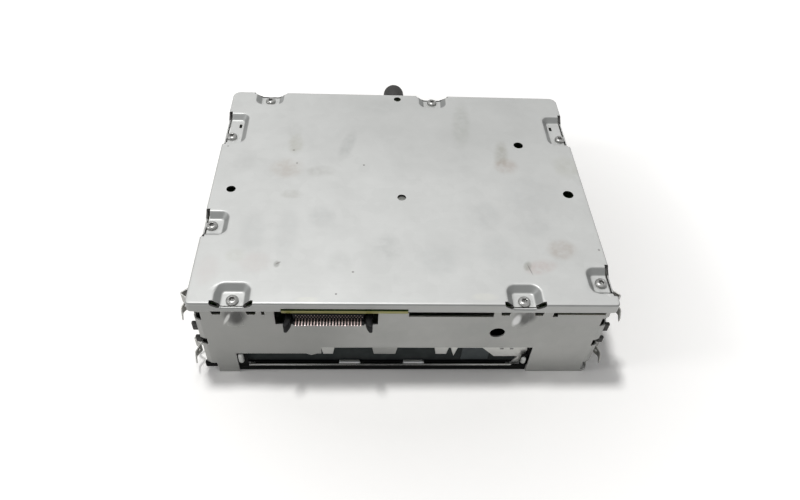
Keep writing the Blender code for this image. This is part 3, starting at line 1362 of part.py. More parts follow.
def deck_frame():
    """The deck's plate with its side flanges, damper tabs, lugs and the idler's pin."""
    plate_front = DECK_FRONT + PLATE_FRONT_RUN
    frame = block("deck_frame", (DECK_LEFT, plate_front, PLATE_LOW), (DECK_RIGHT, DECK_REAR, PLATE_TOP))
    for near, far in ((DECK_LEFT, DECK_LEFT + SHEET), (DECK_RIGHT - SHEET, DECK_RIGHT)):
        flange_low = (near, DECK_FRONT, DECK_FLANGE_LOW)
        fuse(frame, block("deck_flange", flange_low, (far, DECK_REAR, DECK_FLANGE_TOP)))
    rear_low = (DECK_LEFT, DECK_REAR - SHEET, PLATE_LOW)
    fuse(frame, block("rear_flange", rear_low, (DECK_RIGHT, DECK_REAR, PLATE_TOP + DECK_REAR_FLANGE)))
    for _, side, x, y in damper_places():
        inner = DECK_MIDDLE + side * (DECK_HALF - SHEET / 2)
        near, far = sorted((inner, x + side * DAMPER_RADIUS))
        low = (near, y - DAMPER_TAB / 2, PLATE_LOW)
        fuse(frame, block("damper_tab", low, (far, y + DAMPER_TAB / 2, PLATE_TOP)))
    half = SLED_HALF + GAP * 2
    window_low = (DECK_MIDDLE - half, WINDOW_START, PLATE_LOW - OVERRUN)
    cut(frame, block("sled_window", window_low, (DECK_MIDDLE + half, WINDOW_END, PLATE_TOP + OVERRUN)))
    hub = TURNTABLE_HUB + MOTOR_HOLE_ROOM
    start, end = (DECK_MIDDLE, 0, PLATE_LOW - OVERRUN), (DECK_MIDDLE, 0, PLATE_TOP + OVERRUN)
    cut(frame, rod("spindle_hole", start, end, hub))
    rod_top = ROD_Z + ROD_RADIUS + SHEET
    for x in (-ROD_X, ROD_X):
        for y in (FRONT_LUG_Y, WINDOW_END + GAP):
            fuse(frame, frame_lug("rod_lug", x, y, rod_top, ROD_RADIUS, ROD_Z))
    screw_top = SCREW_Z + SCREW_CORE + THREAD + SHEET
    fuse(frame, frame_lug("screw_lug", SCREW_X, WINDOW_END + GAP, screw_top, SCREW_CORE, SCREW_Z))
    for x in (DECK_LEFT, DECK_RIGHT):
        start = (x - OVERRUN, ROLLER_Y, ROLLER_Z)
        end = (x + OVERRUN, ROLLER_Y, ROLLER_Z)
        cut(frame, rod("roller_hole", start, end, ROLLER_SHAFT_RADIUS + GAP))
    start = (DECK_RIGHT - OVERRUN, PINION_Y, PINION_Z)
    end = (DECK_RIGHT + OVERRUN, PINION_Y, PINION_Z)
    cut(frame, rod("pinion_hole", start, end, MOTOR_SHAFT_RADIUS + GAP * 2, SMALL_SIDES))
    start = (DECK_RIGHT - SHEET / 2, IDLER_Y, IDLER_Z)
    end = (GEAR_FAR + GEAR_OFFSET, IDLER_Y, IDLER_Z)
    fuse(frame, rod("idler_pin", start, end, IDLER_PIN_RADIUS, SMALL_SIDES))
    return finish(frame, "bright_steel")


TOOTH_BOTTOM = 0.0106
PLATE_EDGE = 0.0155
POINT_BOTTOM = 0.0091
FLAP_BOTTOM = 0.0088
PLATE_PEAK = 0.024
LEFT_LUG_BOTTOM = 0.0046
RIGHT_LUG_BOTTOM = 0.0023
# Places across the plate, as shares of the disc's radius from the deck's middle
LEFT_LUG_SHARES = (-1.02, -0.82, -0.79)
TEETH_SHARES = ((-0.456, -0.357), (-0.075, 0.113), (0.393, 0.5))
POINT_SHARES = (0.515, 0.545, 0.568)
FLAP_SHARES = (0.755, 0.857, 1.045)
RIGHT_LUG_SHARES = (1.005, 1.03)
PLATE_LEFT_SHARE = 0.7
TOOTH_CORNER = 0.0008


def deck_front_plate():
    """The light plate behind the slot, with teeth along its lower edge and a lug at each end."""

    def across(share):
        return DECK_MIDDLE + share * DISC_RADIUS

    left = DECK_MIDDLE - DISC_RADIUS - DECK_EDGE * PLATE_LEFT_SHARE
    ledge = PLATE_EDGE - 2 * SHEET
    lug, ledge_end, edge_start = (across(share) for share in LEFT_LUG_SHARES)
    outline = [(left, PLATE_PEAK), (left, LEFT_LUG_BOTTOM), (lug, LEFT_LUG_BOTTOM + SHEET)]
    outline += [(lug, ledge), (ledge_end, ledge), (edge_start, PLATE_EDGE)]
    for first, last in TEETH_SHARES:
        start, end = across(first), across(last)
        outline += [(start, PLATE_EDGE), (start + TOOTH_CORNER, TOOTH_BOTTOM)]
        outline += [(end - TOOTH_CORNER, TOOTH_BOTTOM), (end, PLATE_EDGE)]
    start, middle, end = (across(share) for share in POINT_SHARES)
    outline += [(start, PLATE_EDGE), (middle, POINT_BOTTOM), (end, PLATE_EDGE)]
    start, middle, end = (across(share) for share in FLAP_SHARES)
    outline += [(start, PLATE_EDGE), (middle, FLAP_BOTTOM), (end, FLAP_BOTTOM)]
    inner, outer = (across(share) for share in RIGHT_LUG_SHARES)
    outline += [(inner, RIGHT_LUG_BOTTOM + SHEET), (outer, RIGHT_LUG_BOTTOM)]
    outline += [(DECK_RIGHT, FLAP_BOTTOM - 4 * SHEET), (DECK_RIGHT, PLATE_PEAK)]
    face = plate("deck_front_plate", "XZ", outline, FRONT_PLATE_Y, FRONT_PLATE_Y + SHEET)
    return finish(face, "bright_steel")


def dampers():
    """The four rubber dampers that the deck stands on."""
    low = SHEET + GAP
    height = PLATE_LOW - GAP - low
    heights = [share * height for share in DAMPER_HEIGHT_SHARES]
    radii = (0, DAMPER_RADIUS, DAMPER_RADIUS, DAMPER_WAIST, DAMPER_WAIST, DAMPER_RADIUS, DAMPER_RADIUS, 0)
    for name, _, x, y in damper_places():
        profile = tuple(zip(radii, heights))
        finish(turned(name, profile, (x, y, low), (0, 0, 1), SMALL_SIDES), "black_rubber", smooth=True)


GUIDE_THICKNESS = 0.0016
GUIDE_RAIL = 0.0018
GUIDE_RAIL_WIDTH = 0.0014
GUIDE_REAR_ROOM = 0.002
GUIDE_TONGUE_SHARE = 0.96


def disc_guide():
    """The plastic guide that the disc slides over, with a low rail at each side."""
    low = BASE_RAISE + SHEET + GAP
    half = DISC_RADIUS + GUIDE_RAIL_WIDTH
    front = BASE_FRONT + SHEET + GAP
    rear = BASE_STEP - GUIDE_REAR_ROOM
    top = low + GUIDE_THICKNESS
    guide = block("disc_guide", (DECK_MIDDLE - half, front, low), (DECK_MIDDLE + half, rear, top))
    tongue = GUIDE_TONGUE_SHARE * DISC_RADIUS
    tongue_high = (DECK_MIDDLE + tongue, front + OVERRUN, top)
    fuse(guide, block("tongue", (DECK_MIDDLE - tongue, BASE_FRONT, low), tongue_high))
    for side in (-1, 1):
        near, far = sorted((DECK_MIDDLE + side * DISC_RADIUS, DECK_MIDDLE + side * half))
        fuse(guide, block("rail", (near, front, low), (far, rear, top + GUIDE_RAIL)))
        middle = DECK_MIDDLE + side * GUIDE_TAB_PLACE
        room = GUIDE_TAB_WIDTH / 2 + GAP
        tab_low = (middle - room, BASE_FRONT - OVERRUN, low - GAP)
        cut(guide, block("tab_room", tab_low, (middle + room, front, top + GAP)))
    return finish(guide, "black_plastic")


def gear(name, teeth, y, z, bore, phase):
    """A spur gear across X with straight-sided teeth, its first tooth at the phase angle."""
    pitch_radius = MODULE * teeth / 2
    tip = pitch_radius + MODULE * ADDENDUM_SHARE
    root = pitch_radius - MODULE * DEDENDUM_SHARE
    step = 2 * math.pi / teeth
    points = []
    for i in range(teeth):
        middle = phase + i * step
        for radius, share in ((root, -ROOT_SHARE), (tip, -TIP_SHARE), (tip, TIP_SHARE), (root, ROOT_SHARE)):
            angle = middle + share * step
            points.append((y + radius * math.cos(angle), z + radius * math.sin(angle)))
    wheel = plate(name, "YZ", points, GEAR_NEAR, GEAR_FAR)
    start = (GEAR_NEAR - OVERRUN, y, z)
    cut(wheel, rod("gear_bore", start, (GEAR_FAR + OVERRUN, y, z), bore))
    return finish(wheel, "white_plastic")


def loading_train():
    """The roller, its gear, the idler, and the loading motor with its pinion."""
    idler_phase = IDLER_ANGLE + math.pi
    idler_step = 2 * math.pi / IDLER_TEETH
    roller_phase = IDLER_ANGLE + math.pi / ROLLER_GEAR_TEETH
    turns = (PINION_ANGLE - idler_phase) / idler_step
    offset = (turns - math.floor(turns)) * idler_step
    pinion_phase = PINION_ANGLE + math.pi + math.pi / PINION_TEETH + offset * IDLER_TEETH / PINION_TEETH
    shaft_end = (GEAR_FAR + GEAR_OFFSET, ROLLER_Y, ROLLER_Z)
    shaft = rod("roller_shaft", (DECK_LEFT - GEAR_OFFSET, ROLLER_Y, ROLLER_Z), shaft_end, ROLLER_SHAFT_RADIUS)
    finish(shaft, "screw_steel", smooth=True)
    bore = ROLLER_SHAFT_RADIUS + GAP
    wheel = gear("roller_gear", ROLLER_GEAR_TEETH, ROLLER_Y, ROLLER_Z, bore, roller_phase)
    pivot("roller_pivot", (DECK_MIDDLE, ROLLER_Y, ROLLER_Z), shaft, wheel, roller_sleeve())
    idler = gear("idler_gear", IDLER_TEETH, IDLER_Y, IDLER_Z, IDLER_PIN_RADIUS + GAP, idler_phase)
    pivot("idler_pivot", (GEAR_NEAR, IDLER_Y, IDLER_Z), idler)
    pinion = gear("motor_pinion", PINION_TEETH, PINION_Y, PINION_Z, MOTOR_SHAFT_RADIUS + GAP, pinion_phase)
    pivot("pinion_pivot", (GEAR_NEAR, PINION_Y, PINION_Z), pinion)
    near = DECK_RIGHT - SHEET - GAP
    front, far = (near, PINION_Y, PINION_Z), (near - LOADER_LENGTH, PINION_Y, PINION_Z)
    body = rod("loading_motor", far, front, LOADER_RADIUS)
    back = (near - LOADER_LENGTH - LOADER_BOSS, PINION_Y, PINION_Z)
    fuse(body, rod("motor_boss", back, (near - OVERRUN, PINION_Y, PINION_Z), LOADER_RADIUS / 2))
    end = (GEAR_FAR + GAP, PINION_Y, PINION_Z)
    fuse(body, rod("motor_shaft", (near - OVERRUN, PINION_Y, PINION_Z), end, MOTOR_SHAFT_RADIUS, SMALL_SIDES))
    finish(body, "bright_steel", smooth=True)


def roller_sleeve():
    """The rubber sleeve of the roller, a little thinner in the middle."""
    half = DECK_HALF - SHEET - 2 * GAP
    bore = ROLLER_SHAFT_RADIUS + GAP
    profile = (
        (bore, half),
        (ROLLER_RADIUS, half),
        (ROLLER_WAIST, 0),
        (ROLLER_RADIUS, -half),
        (bore, -half),
    )
    middle = (DECK_MIDDLE, ROLLER_Y, ROLLER_Z)
    sleeve = turned("roller_sleeve", profile, middle, (1, 0, 0), ROUND_SIDES, closed=True)
    return finish(sleeve, "black_rubber", smooth=True)


def spindle():
    """The spindle motor above the plate and the turntable below it."""
    low = PLATE_TOP + GAP
    high = low + SPINDLE_HEIGHT
    motor = rod("spindle_motor", (DECK_MIDDLE, 0, low), (DECK_MIDDLE, 0, high), SPINDLE_RADIUS)
    bore_top = high - SHEET
    start, end = (DECK_MIDDLE, 0, low - OVERRUN), (DECK_MIDDLE, 0, bore_top)
    cut(motor, rod("motor_bore", start, end, MOTOR_SHAFT_RADIUS + GAP))
    finish(motor, "bright_steel", smooth=True)
    seat = DISC_TOP + GAP
    boss_bottom = DISC_BOTTOM - GAP
    profile = (
        (0, bore_top - GAP),
        (MOTOR_SHAFT_RADIUS, bore_top - GAP),
        (MOTOR_SHAFT_RADIUS, PLATE_LOW - GAP),
        (TURNTABLE_HUB, PLATE_LOW - GAP),
        (TURNTABLE_HUB, seat + TURNTABLE_THICKNESS),
        (TURNTABLE_RADIUS, seat + TURNTABLE_THICKNESS),
        (TURNTABLE_RADIUS, seat),
        (TURNTABLE_BOSS, seat),
        (TURNTABLE_BOSS, boss_bottom + SHEET),
        (TURNTABLE_BOSS - SHEET, boss_bottom),
        (0, boss_bottom),
    )
    table = turned("turntable", profile, (DECK_MIDDLE, 0, 0), (0, 0, 1), LARGE_SIDES)
    return finish(table, "black_plastic", smooth=True)


def clamp():
    """The arm hinged on the base, its pin, and the puck that it presses on the disc."""
    puck_top = DISC_BOTTOM - 2 * GAP
    arm_top = ARM_HEIGHT + SHEET
    profile = (
        (0, puck_top),
        (PUCK_RADIUS - SHEET, puck_top),
        (PUCK_RADIUS, puck_top - SHEET),
        (PUCK_RADIUS, arm_top + GAP),
        (PUCK_NECK, arm_top + GAP),
        (PUCK_NECK, ARM_HEIGHT - GAP),
        (PUCK_FLANGE, ARM_HEIGHT - GAP),
        (PUCK_FLANGE, ARM_HEIGHT - GAP - PUCK_FLANGE_THICKNESS),
        (0, ARM_HEIGHT - GAP - PUCK_FLANGE_THICKNESS),
    )
    puck = turned("clamp_puck", profile, (DECK_MIDDLE, 0, 0), (0, 0, 1), ROUND_SIDES)
    finish(puck, "black_plastic", smooth=True)
    half = ARM_HINGE_WIDTH / 2
    arm = plate("clamp_arm", "XY", arm_outline(half), ARM_HEIGHT, arm_top)
    start = (DECK_MIDDLE - half, ARM_HINGE_Y, ARM_AXIS_Z)
    end = (DECK_MIDDLE + half, ARM_HINGE_Y, ARM_AXIS_Z)
    fuse(arm, rod("knuckle", start, end, ARM_KNUCKLE_RADIUS, SMALL_SIDES))
    cut(arm, rod("neck_hole", (DECK_MIDDLE, 0, 0), (DECK_MIDDLE, 0, arm_top + OVERRUN), PUCK_NECK + GAP))
    start = (DECK_MIDDLE - half - OVERRUN, ARM_HINGE_Y, ARM_AXIS_Z)
    end = (DECK_MIDDLE + half + OVERRUN, ARM_HINGE_Y, ARM_AXIS_Z)
    cut(arm, rod("knuckle_bore", start, end, ARM_PIN_RADIUS + GAP, SMALL_SIDES))
    finish(arm, "bright_steel")
    reach = half + GAP + LUG_WIDTH
    pin_start = (DECK_MIDDLE - reach, ARM_HINGE_Y, ARM_AXIS_Z)
    pin_end = (DECK_MIDDLE + reach, ARM_HINGE_Y, ARM_AXIS_Z)
    pin = rod("clamp_pin", pin_start, pin_end, ARM_PIN_RADIUS, SMALL_SIDES)
    finish(pin, "screw_steel", smooth=True)
    pivot("clamp_pivot", (DECK_MIDDLE, ARM_HINGE_Y, ARM_AXIS_Z), arm)


def arm_outline(half):
    """The arm's flat outline: a half round nose about the puck, widening to the hinge."""
    points = []
    for i in range(SMALL_SIDES + 1):
        angle = math.pi + math.pi * i / SMALL_SIDES
        points.append((DECK_MIDDLE + ARM_RING * math.cos(angle), ARM_RING * math.sin(angle)))
    points.append((DECK_MIDDLE + half, ARM_HINGE_Y))
    points.append((DECK_MIDDLE - half, ARM_HINGE_Y))
    return points


def pickup():
    """The optical sled on its two rods, its lens, and the lead screw with its motor."""
    rear = SLED_FRONT + SLED_LENGTH
    sled = block(
        "pickup_sled",
        (DECK_MIDDLE - SLED_HALF, SLED_FRONT, SLED_LOW),
        (DECK_MIDDLE + SLED_HALF, rear, SLED_TOP),
    )
    for side_name, x in (("left", -ROD_X), ("right", ROD_X)):
        start = (DECK_MIDDLE + x, SLED_FRONT - OVERRUN, ROD_Z)
        cut(sled, rod("rod_bore", start, (DECK_MIDDLE + x, rear + OVERRUN, ROD_Z), ROD_RADIUS + GAP))
        start = (DECK_MIDDLE + x, FRONT_LUG_Y - SHEET, ROD_Z)
        end = (DECK_MIDDLE + x, WINDOW_END + GAP + SHEET, ROD_Z)
        finish(rod(f"guide_rod_{side_name}", start, end, ROD_RADIUS), "screw_steel", smooth=True)
    lens_y = SLED_FRONT + LENS_Y_SHARE * SLED_LENGTH
    half = LENS_BLOCK / 2
    block_low = SLED_LOW - LENS_BLOCK_DROP
    low = (DECK_MIDDLE - half, lens_y - half, block_low)
    fuse(sled, block("lens_block", low, (DECK_MIDDLE + half, lens_y + half, SLED_LOW + OVERRUN)))
    follower_y = (SLED_FRONT + rear) / 2
    near = DECK_MIDDLE + SLED_HALF - SHEET
    far = DECK_MIDDLE + SCREW_X - SCREW_CORE - THREAD - GAP
    low = (near, follower_y - FOLLOWER_LENGTH / 2, SLED_TOP - OVERRUN)
    fuse(sled, block("follower", low, (far, follower_y + FOLLOWER_LENGTH / 2, SCREW_Z + FOLLOWER_HALF)))
    finish(sled, "black_plastic")
    lens_top = block_low - GAP
    start, end = (DECK_MIDDLE, lens_y, lens_top - LENS_DROP), (DECK_MIDDLE, lens_y, lens_top)
    lens = rod("pickup_lens", start, end, LENS_RADIUS)
    finish(lens, "lens_glass", smooth=True)
    pivot("sled_pivot", (DECK_MIDDLE, follower_y, ROD_Z), sled, lens)
    lead_screw()


def lead_screw():
    """The ridged screw that drives the sled, and the motor that turns it."""
    x = DECK_MIDDLE + SCREW_X
    start = SLED_MOTOR_END + GAP
    end = WINDOW_END + GAP + SHEET
    ridge_end = WINDOW_END - OVERRUN
    count = math.floor((ridge_end - start) / THREAD_PITCH)
    outer = SCREW_CORE + THREAD
    quarter = THREAD_PITCH / 4
    profile = [(0, end - start), (SCREW_CORE, end - start)]
    for i in range(count, 0, -1):
        crest = i * THREAD_PITCH
        profile += [(SCREW_CORE, crest), (outer, crest - quarter)]
        profile += [(outer, crest - 2 * quarter), (SCREW_CORE, crest - 3 * quarter)]
    profile += [(SCREW_CORE, 0), (0, 0)]
    screw = turned("lead_screw", profile, (x, start, SCREW_Z), (0, 1, 0), THREAD_STEPS)
    finish(screw, "screw_steel", smooth=True)
    pivot("lead_screw_pivot", (x, start, SCREW_Z), screw)
    front = SLED_MOTOR_END - SLED_MOTOR_LENGTH
    motor = rod("sled_motor", (x, front, SCREW_Z), (x, SLED_MOTOR_END, SCREW_Z), SLED_MOTOR_RADIUS)
    boss_start, boss_end = (x, front - LOADER_BOSS, SCREW_Z), (x, front + OVERRUN, SCREW_Z)
    boss = rod("sled_motor_boss", boss_start, boss_end, SLED_BOSS_RADIUS)
    fuse(motor, boss)
    finish(motor, "bright_steel", smooth=True)


def main():
    """Builds every piece."""
    clear_scene()
    lid()
    lid_screws()
    chassis()
    base_cover()
    clips()
    main_board()
    front_header()
    latch("latch_left", -1)
    latch("latch_right", 1)
    tuner_module()
    antenna_socket()
    rear_connector()
    amplifier()
    heat_sink()
    capacitor()
    choke()
    processor()
    ribbon()
    rear_stud()
    deck_frame()
    deck_front_plate()
    dampers()
    disc_guide()
    loading_train()
    spindle()
    clamp()
    pickup()


main()
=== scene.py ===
import json
import logging
import math
from dataclasses import dataclass
from enum import Enum
from typing import Any, Dict, List, Mapping, Optional, Sequence, Tuple, Union

import bmesh
import bpy
import numpy as np
from mathutils import Matrix, Vector


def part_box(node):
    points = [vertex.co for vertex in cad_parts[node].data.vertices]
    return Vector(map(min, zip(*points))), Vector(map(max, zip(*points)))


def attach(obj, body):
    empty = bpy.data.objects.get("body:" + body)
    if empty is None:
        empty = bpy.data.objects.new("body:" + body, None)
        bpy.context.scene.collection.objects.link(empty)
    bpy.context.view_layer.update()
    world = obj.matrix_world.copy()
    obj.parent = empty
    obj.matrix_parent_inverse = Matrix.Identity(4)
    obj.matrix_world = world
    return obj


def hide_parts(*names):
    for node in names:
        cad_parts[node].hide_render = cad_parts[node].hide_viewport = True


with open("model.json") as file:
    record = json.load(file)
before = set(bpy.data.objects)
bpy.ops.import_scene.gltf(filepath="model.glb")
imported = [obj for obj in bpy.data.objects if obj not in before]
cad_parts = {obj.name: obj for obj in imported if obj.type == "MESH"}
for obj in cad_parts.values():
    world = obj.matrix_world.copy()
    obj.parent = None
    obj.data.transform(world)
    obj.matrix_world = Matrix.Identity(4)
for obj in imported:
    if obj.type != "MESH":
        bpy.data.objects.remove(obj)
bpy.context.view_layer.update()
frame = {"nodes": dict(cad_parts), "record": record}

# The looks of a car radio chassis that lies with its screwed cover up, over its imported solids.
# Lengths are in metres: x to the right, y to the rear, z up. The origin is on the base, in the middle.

Array = np.ndarray
Point2 = Tuple[float, float]
Point3 = Tuple[float, float, float]
LOG = logging.getLogger("car_radio")
MM = 0.001
# points closer than this are merged
WELD = 1e-7
# the largest share of a side that a bevel or a rounding takes from one end
MOST = 0.45


# Colours and nodes


def linear(code: str) -> Tuple[float, float, float, float]:
    """Turns an sRGB hex colour to linear light: the low part divided by 12.92, the rest to the power 2.4.

    Args:
        code: a colour such as "#d6d6d3".

    Returns:
        Red, green, blue and an opacity of one.
    """
    levels = [int(code[i : i + 2], 16) / 255 for i in (1, 3, 5)]
    parts = [v / 12.92 if v <= 0.04045 else ((v + 0.055) / 1.055) ** 2.4 for v in levels]
    return parts[0], parts[1], parts[2], 1.0


def connect(tree: bpy.types.NodeTree, node: bpy.types.Node, inputs: Mapping[Union[str, int], Any]) -> None:
    """Sets or links a node's inputs.

    Args:
        tree: the material's or world's node tree.
        node: the node that takes them.
        inputs: a value, or the node or output that feeds it, for each input's name or number.
    """
    for key, value in inputs.items():
        if isinstance(value, bpy.types.Node):
            value = value.outputs[0]
        if isinstance(value, bpy.types.NodeSocket):
            tree.links.new(value, node.inputs[key])
        else:
            node.inputs[key].default_value = value


def add_node(
    tree: bpy.types.NodeTree,
    kind: str,
    inputs: Optional[Mapping[Union[str, int], Any]] = None,
    stops: Sequence[Tuple[float, str]] = (),
    **settings: Any,
) -> bpy.types.Node:
    """Adds a node with its settings, its inputs and, on a colour ramp, its stops.

    Args:
        tree: the material's or world's node tree.
        kind: the node's class name after "ShaderNode".
        inputs: what connect sets or links.
        stops: a ramp's places and sRGB hex colours.
        settings: the node's own properties.

    Returns:
        The new node.
    """
    node = tree.nodes.new("ShaderNode" + kind)
    for key, value in settings.items():
        setattr(node, key, value)
    connect(tree, node, inputs or {})
    for number, (place, code) in enumerate(stops):
        ramp = node.color_ramp.elements
        element = ramp[number] if number < 2 else ramp.new(place)
        element.position, element.color = place, linear(code)
    return node


def empty_tree(owner: Union[bpy.types.Material, bpy.types.World]) -> bpy.types.NodeTree:
    """Gives a material or a world an empty node tree.

    Args:
        owner: the material or world.

    Returns:
        Its tree.
    """
    owner.use_nodes = True
    owner.node_tree.nodes.clear()
    return owner.node_tree


# Finishes


@dataclass(frozen=True)
class Mark:
    """A soft stain, speck or scratch, or a patch of painted shade or painted highlight: an ellipse in x and
    y, or in x and z where it is upright.
    """

    centre: Point2
    half: Point2
    colour: str
    strength: float
    turn: float = 0.0
    ragged: float = 0.6
    upright: bool = False


@dataclass(frozen=True)
class Finish:
    """A finish of one real material, which makes its Blender material once."""

    name: str

    def material(self) -> bpy.types.Material:
        """Makes the material at its first use.

        Returns:
            The material, which every piece with this finish shares.
        """
        made = bpy.data.materials.get(self.name)
        if made is None:
            made = bpy.data.materials.new(self.name)
            tree = empty_tree(made)
            shader = add_node(tree, "BsdfPrincipled")
            add_node(tree, "OutputMaterial", {"Surface": shader})
            self.dress(tree, shader)
        return made

    def dress(self, tree: bpy.types.NodeTree, shader: bpy.types.Node) -> None:
        """Links the finish's pattern to the shader."""
        raise NotImplementedError

    @staticmethod
    def worn_edge(tree: bpy.types.NodeTree, radius: float) -> Tuple[Any, Any]:
        """Finds a solid's edges by how far a rounded normal turns from the face's own.

        Args:
            tree: the material's node tree.
            radius: how wide the rounded edge looks, in metres.

        Returns:
            The rounded normal, and a factor that is one on an edge.
        """
        rounded = add_node(tree, "Bevel", {"Radius": radius}, samples=6)
        facing = add_node(tree, "NewGeometry")
        dot = add_node(
            tree, "VectorMath", {0: rounded, 1: facing.outputs["True Normal"]}, operation="DOT_PRODUCT"
        )
        edge = add_node(
            tree, "MapRange",
            {"Value": dot.outputs["Value"], "From Min": 0.995, "From Max": 0.82},
            clamp=True,
        )
        return rounded.outputs[0], edge.outputs[0]


@dataclass(frozen=True)
class SheetMetal(Finish):
    """Cold rolled sheet: long fine grain, soft clouds, and flat crystals where it is zinc dipped.

    The clouds are about 24 mm apart, and what breaks up a mark's edge is about 3 mm.
    """

    light: str = "#cbccca"
    dark: str = "#bfc0be"
    edge: str = "#ededea"
    metallic: float = 0.3
    roughness: float = 0.42
    gloss_swing: float = 0.07
    grain_along_y: bool = False
    grain_width: float = 0.35 * MM
    crystal: float = 4.5 * MM
    rounding: float = 0.35 * MM
    grain_share: float = 0.16
    crystal_share: float = 0.12
    # the colour of the painted shade on the slopes, white for none, and the flange's painted shade from its
    # left end to its right
    slope_shade: str = "#ffffff"
    flange: Tuple[str, str] = ("#a2a3a1", "#c6c7c5")
    flange_run: Point2 = (-0.090, 0.060)
    cloud: float = 1 / 42
    ragged: float = 1 / 320
    marked_wall: float = -0.0724
    mark_depth: Point2 = (4 * MM, 6 * MM)
    marks_and_painted_light: Tuple[Mark, ...] = ()

    def dress(self, tree: bpy.types.NodeTree, shader: bpy.types.Node) -> None:
        """Mixes clouds, crystals and grain into the colour, the roughness and a faint bump.

        Args:
            tree: the material's node tree.
            shader: its principled shader.
        """
        coordinates = add_node(tree, "TexCoord")
        place = coordinates.outputs["Object"]
        long, short = 1 / (90 * self.grain_width), 1 / self.grain_width
        stretch = (short, long, short) if self.grain_along_y else (long, short, short)
        grain_place = add_node(tree, "Mapping", {"Vector": place, "Scale": stretch})
        grain = add_node(
            tree, "TexNoise", {"Vector": grain_place, "Scale": 1.0, "Detail": 3.0, "Roughness": 0.6}
        )
        cloud = add_node(tree, "TexNoise", {"Vector": place, "Scale": 1 / self.cloud, "Detail": 4.0})
        flake = add_node(tree, "TexVoronoi", {"Vector": place, "Scale": 1 / self.crystal})
        flake_level = add_node(tree, "SeparateColor", {0: flake.outputs["Color"]})
        streak = add_node(
            tree, "Math",
            {0: grain.outputs["Fac"], 1: self.grain_share, 2: cloud.outputs["Fac"]},
            operation="MULTIPLY_ADD",
        )
        level = add_node(
            tree, "Math", {0: flake_level, 1: self.crystal_share, 2: streak}, operation="MULTIPLY_ADD"
        )
        colour = add_node(
            tree, "ValToRGB", {"Fac": level}, stops=((0.38, self.dark), (0.86, self.light))
        ).outputs["Color"]
        ragged = add_node(tree, "TexNoise", {"Vector": place, "Scale": 1 / self.ragged, "Detail": 5.0})
        # stains and specks, and patches of painted shade and painted highlight
        for mark in self.marks_and_painted_light:
            colour = self.stained_or_shaded(tree, place, (colour, ragged.outputs["Fac"]), mark)
        # painted shade by how each face turns
        if self.slope_shade != "#ffffff":
            colour = self.shaded_by_facing(tree, place, coordinates.outputs["Normal"], colour)
        normal, edge = self.worn_edge(tree, self.rounding)
        worn = add_node(tree, "Mix", {0: edge, 6: colour, 7: linear(self.edge)}, data_type="RGBA")
        gloss = add_node(
            tree, "MapRange",
            {
                "Value": streak, "From Min": 0.4, "From Max": 1.1,
                "To Min": self.roughness + self.gloss_swing, "To Max": self.roughness - self.gloss_swing,
            },
        )
        bump = add_node(
            tree, "Bump",
            {"Strength": 0.12, "Distance": 0.03 * MM, "Height": grain.outputs["Fac"], "Normal": normal},
        )
        base = {"Base Color": worn.outputs[2], "Metallic": self.metallic}
        connect(tree, shader, {**base, "Roughness": gloss, "Normal": bump})

    def shaded_by_facing(self, tree: bpy.types.NodeTree, place: Any, facing: Any, colour: Any) -> Any:
        """Paints shade by how each face turns: darker on the pockets' slopes and the bend, and on the
        upright flange a painted shade that runs from darker at the left to lighter at the right.

        Args:
            tree: the material's node tree.
            place: the output that gives the object's coordinates.
            facing: the output that gives the object's own normal.
            colour: the output that gives the colour so far.

        Returns:
            The output of the darkened colour.
        """
        parts = add_node(tree, "SeparateXYZ", {0: facing})
        level = add_node(tree, "Math", {0: parts.outputs["Z"]}, operation="ABSOLUTE")
        # painted shade by facing: upright faces a little darker, the bend and the pockets' slopes darker,
        # and the flat as it is
        facing_shade = add_node(
            tree, "ValToRGB", {"Fac": level},
            stops=((0.1, "#f4f4f4"), (0.45, self.slope_shade), (0.76, self.slope_shade), (0.93, "#ffffff")),
        )
        mixed = add_node(
            tree, "Mix", {0: 1.0, 6: colour, 7: facing_shade.outputs["Color"]},
            data_type="RGBA", blend_type="MULTIPLY",
        )
        # the upright flange gets its own painted shade, darker at the left, lighter at the right
        upright = add_node(
            tree, "MapRange",
            {"Value": level, "From Min": 0.04, "From Max": 0.2, "To Min": 0.9, "To Max": 0.0},
            clamp=True,
        )
        across = add_node(tree, "SeparateXYZ", {0: place})
        far = add_node(
            tree, "MapRange",
            {"Value": across.outputs["X"], "From Min": self.flange_run[0], "From Max": self.flange_run[1]},
            clamp=True,
        )
        tint = add_node(
            tree, "ValToRGB", {"Fac": far}, stops=((0.0, self.flange[0]), (1.0, self.flange[1]))
        )
        flange = add_node(
            tree, "Mix", {0: upright, 6: mixed.outputs[2], 7: tint.outputs["Color"]}, data_type="RGBA"
        )
        return flange.outputs[2]

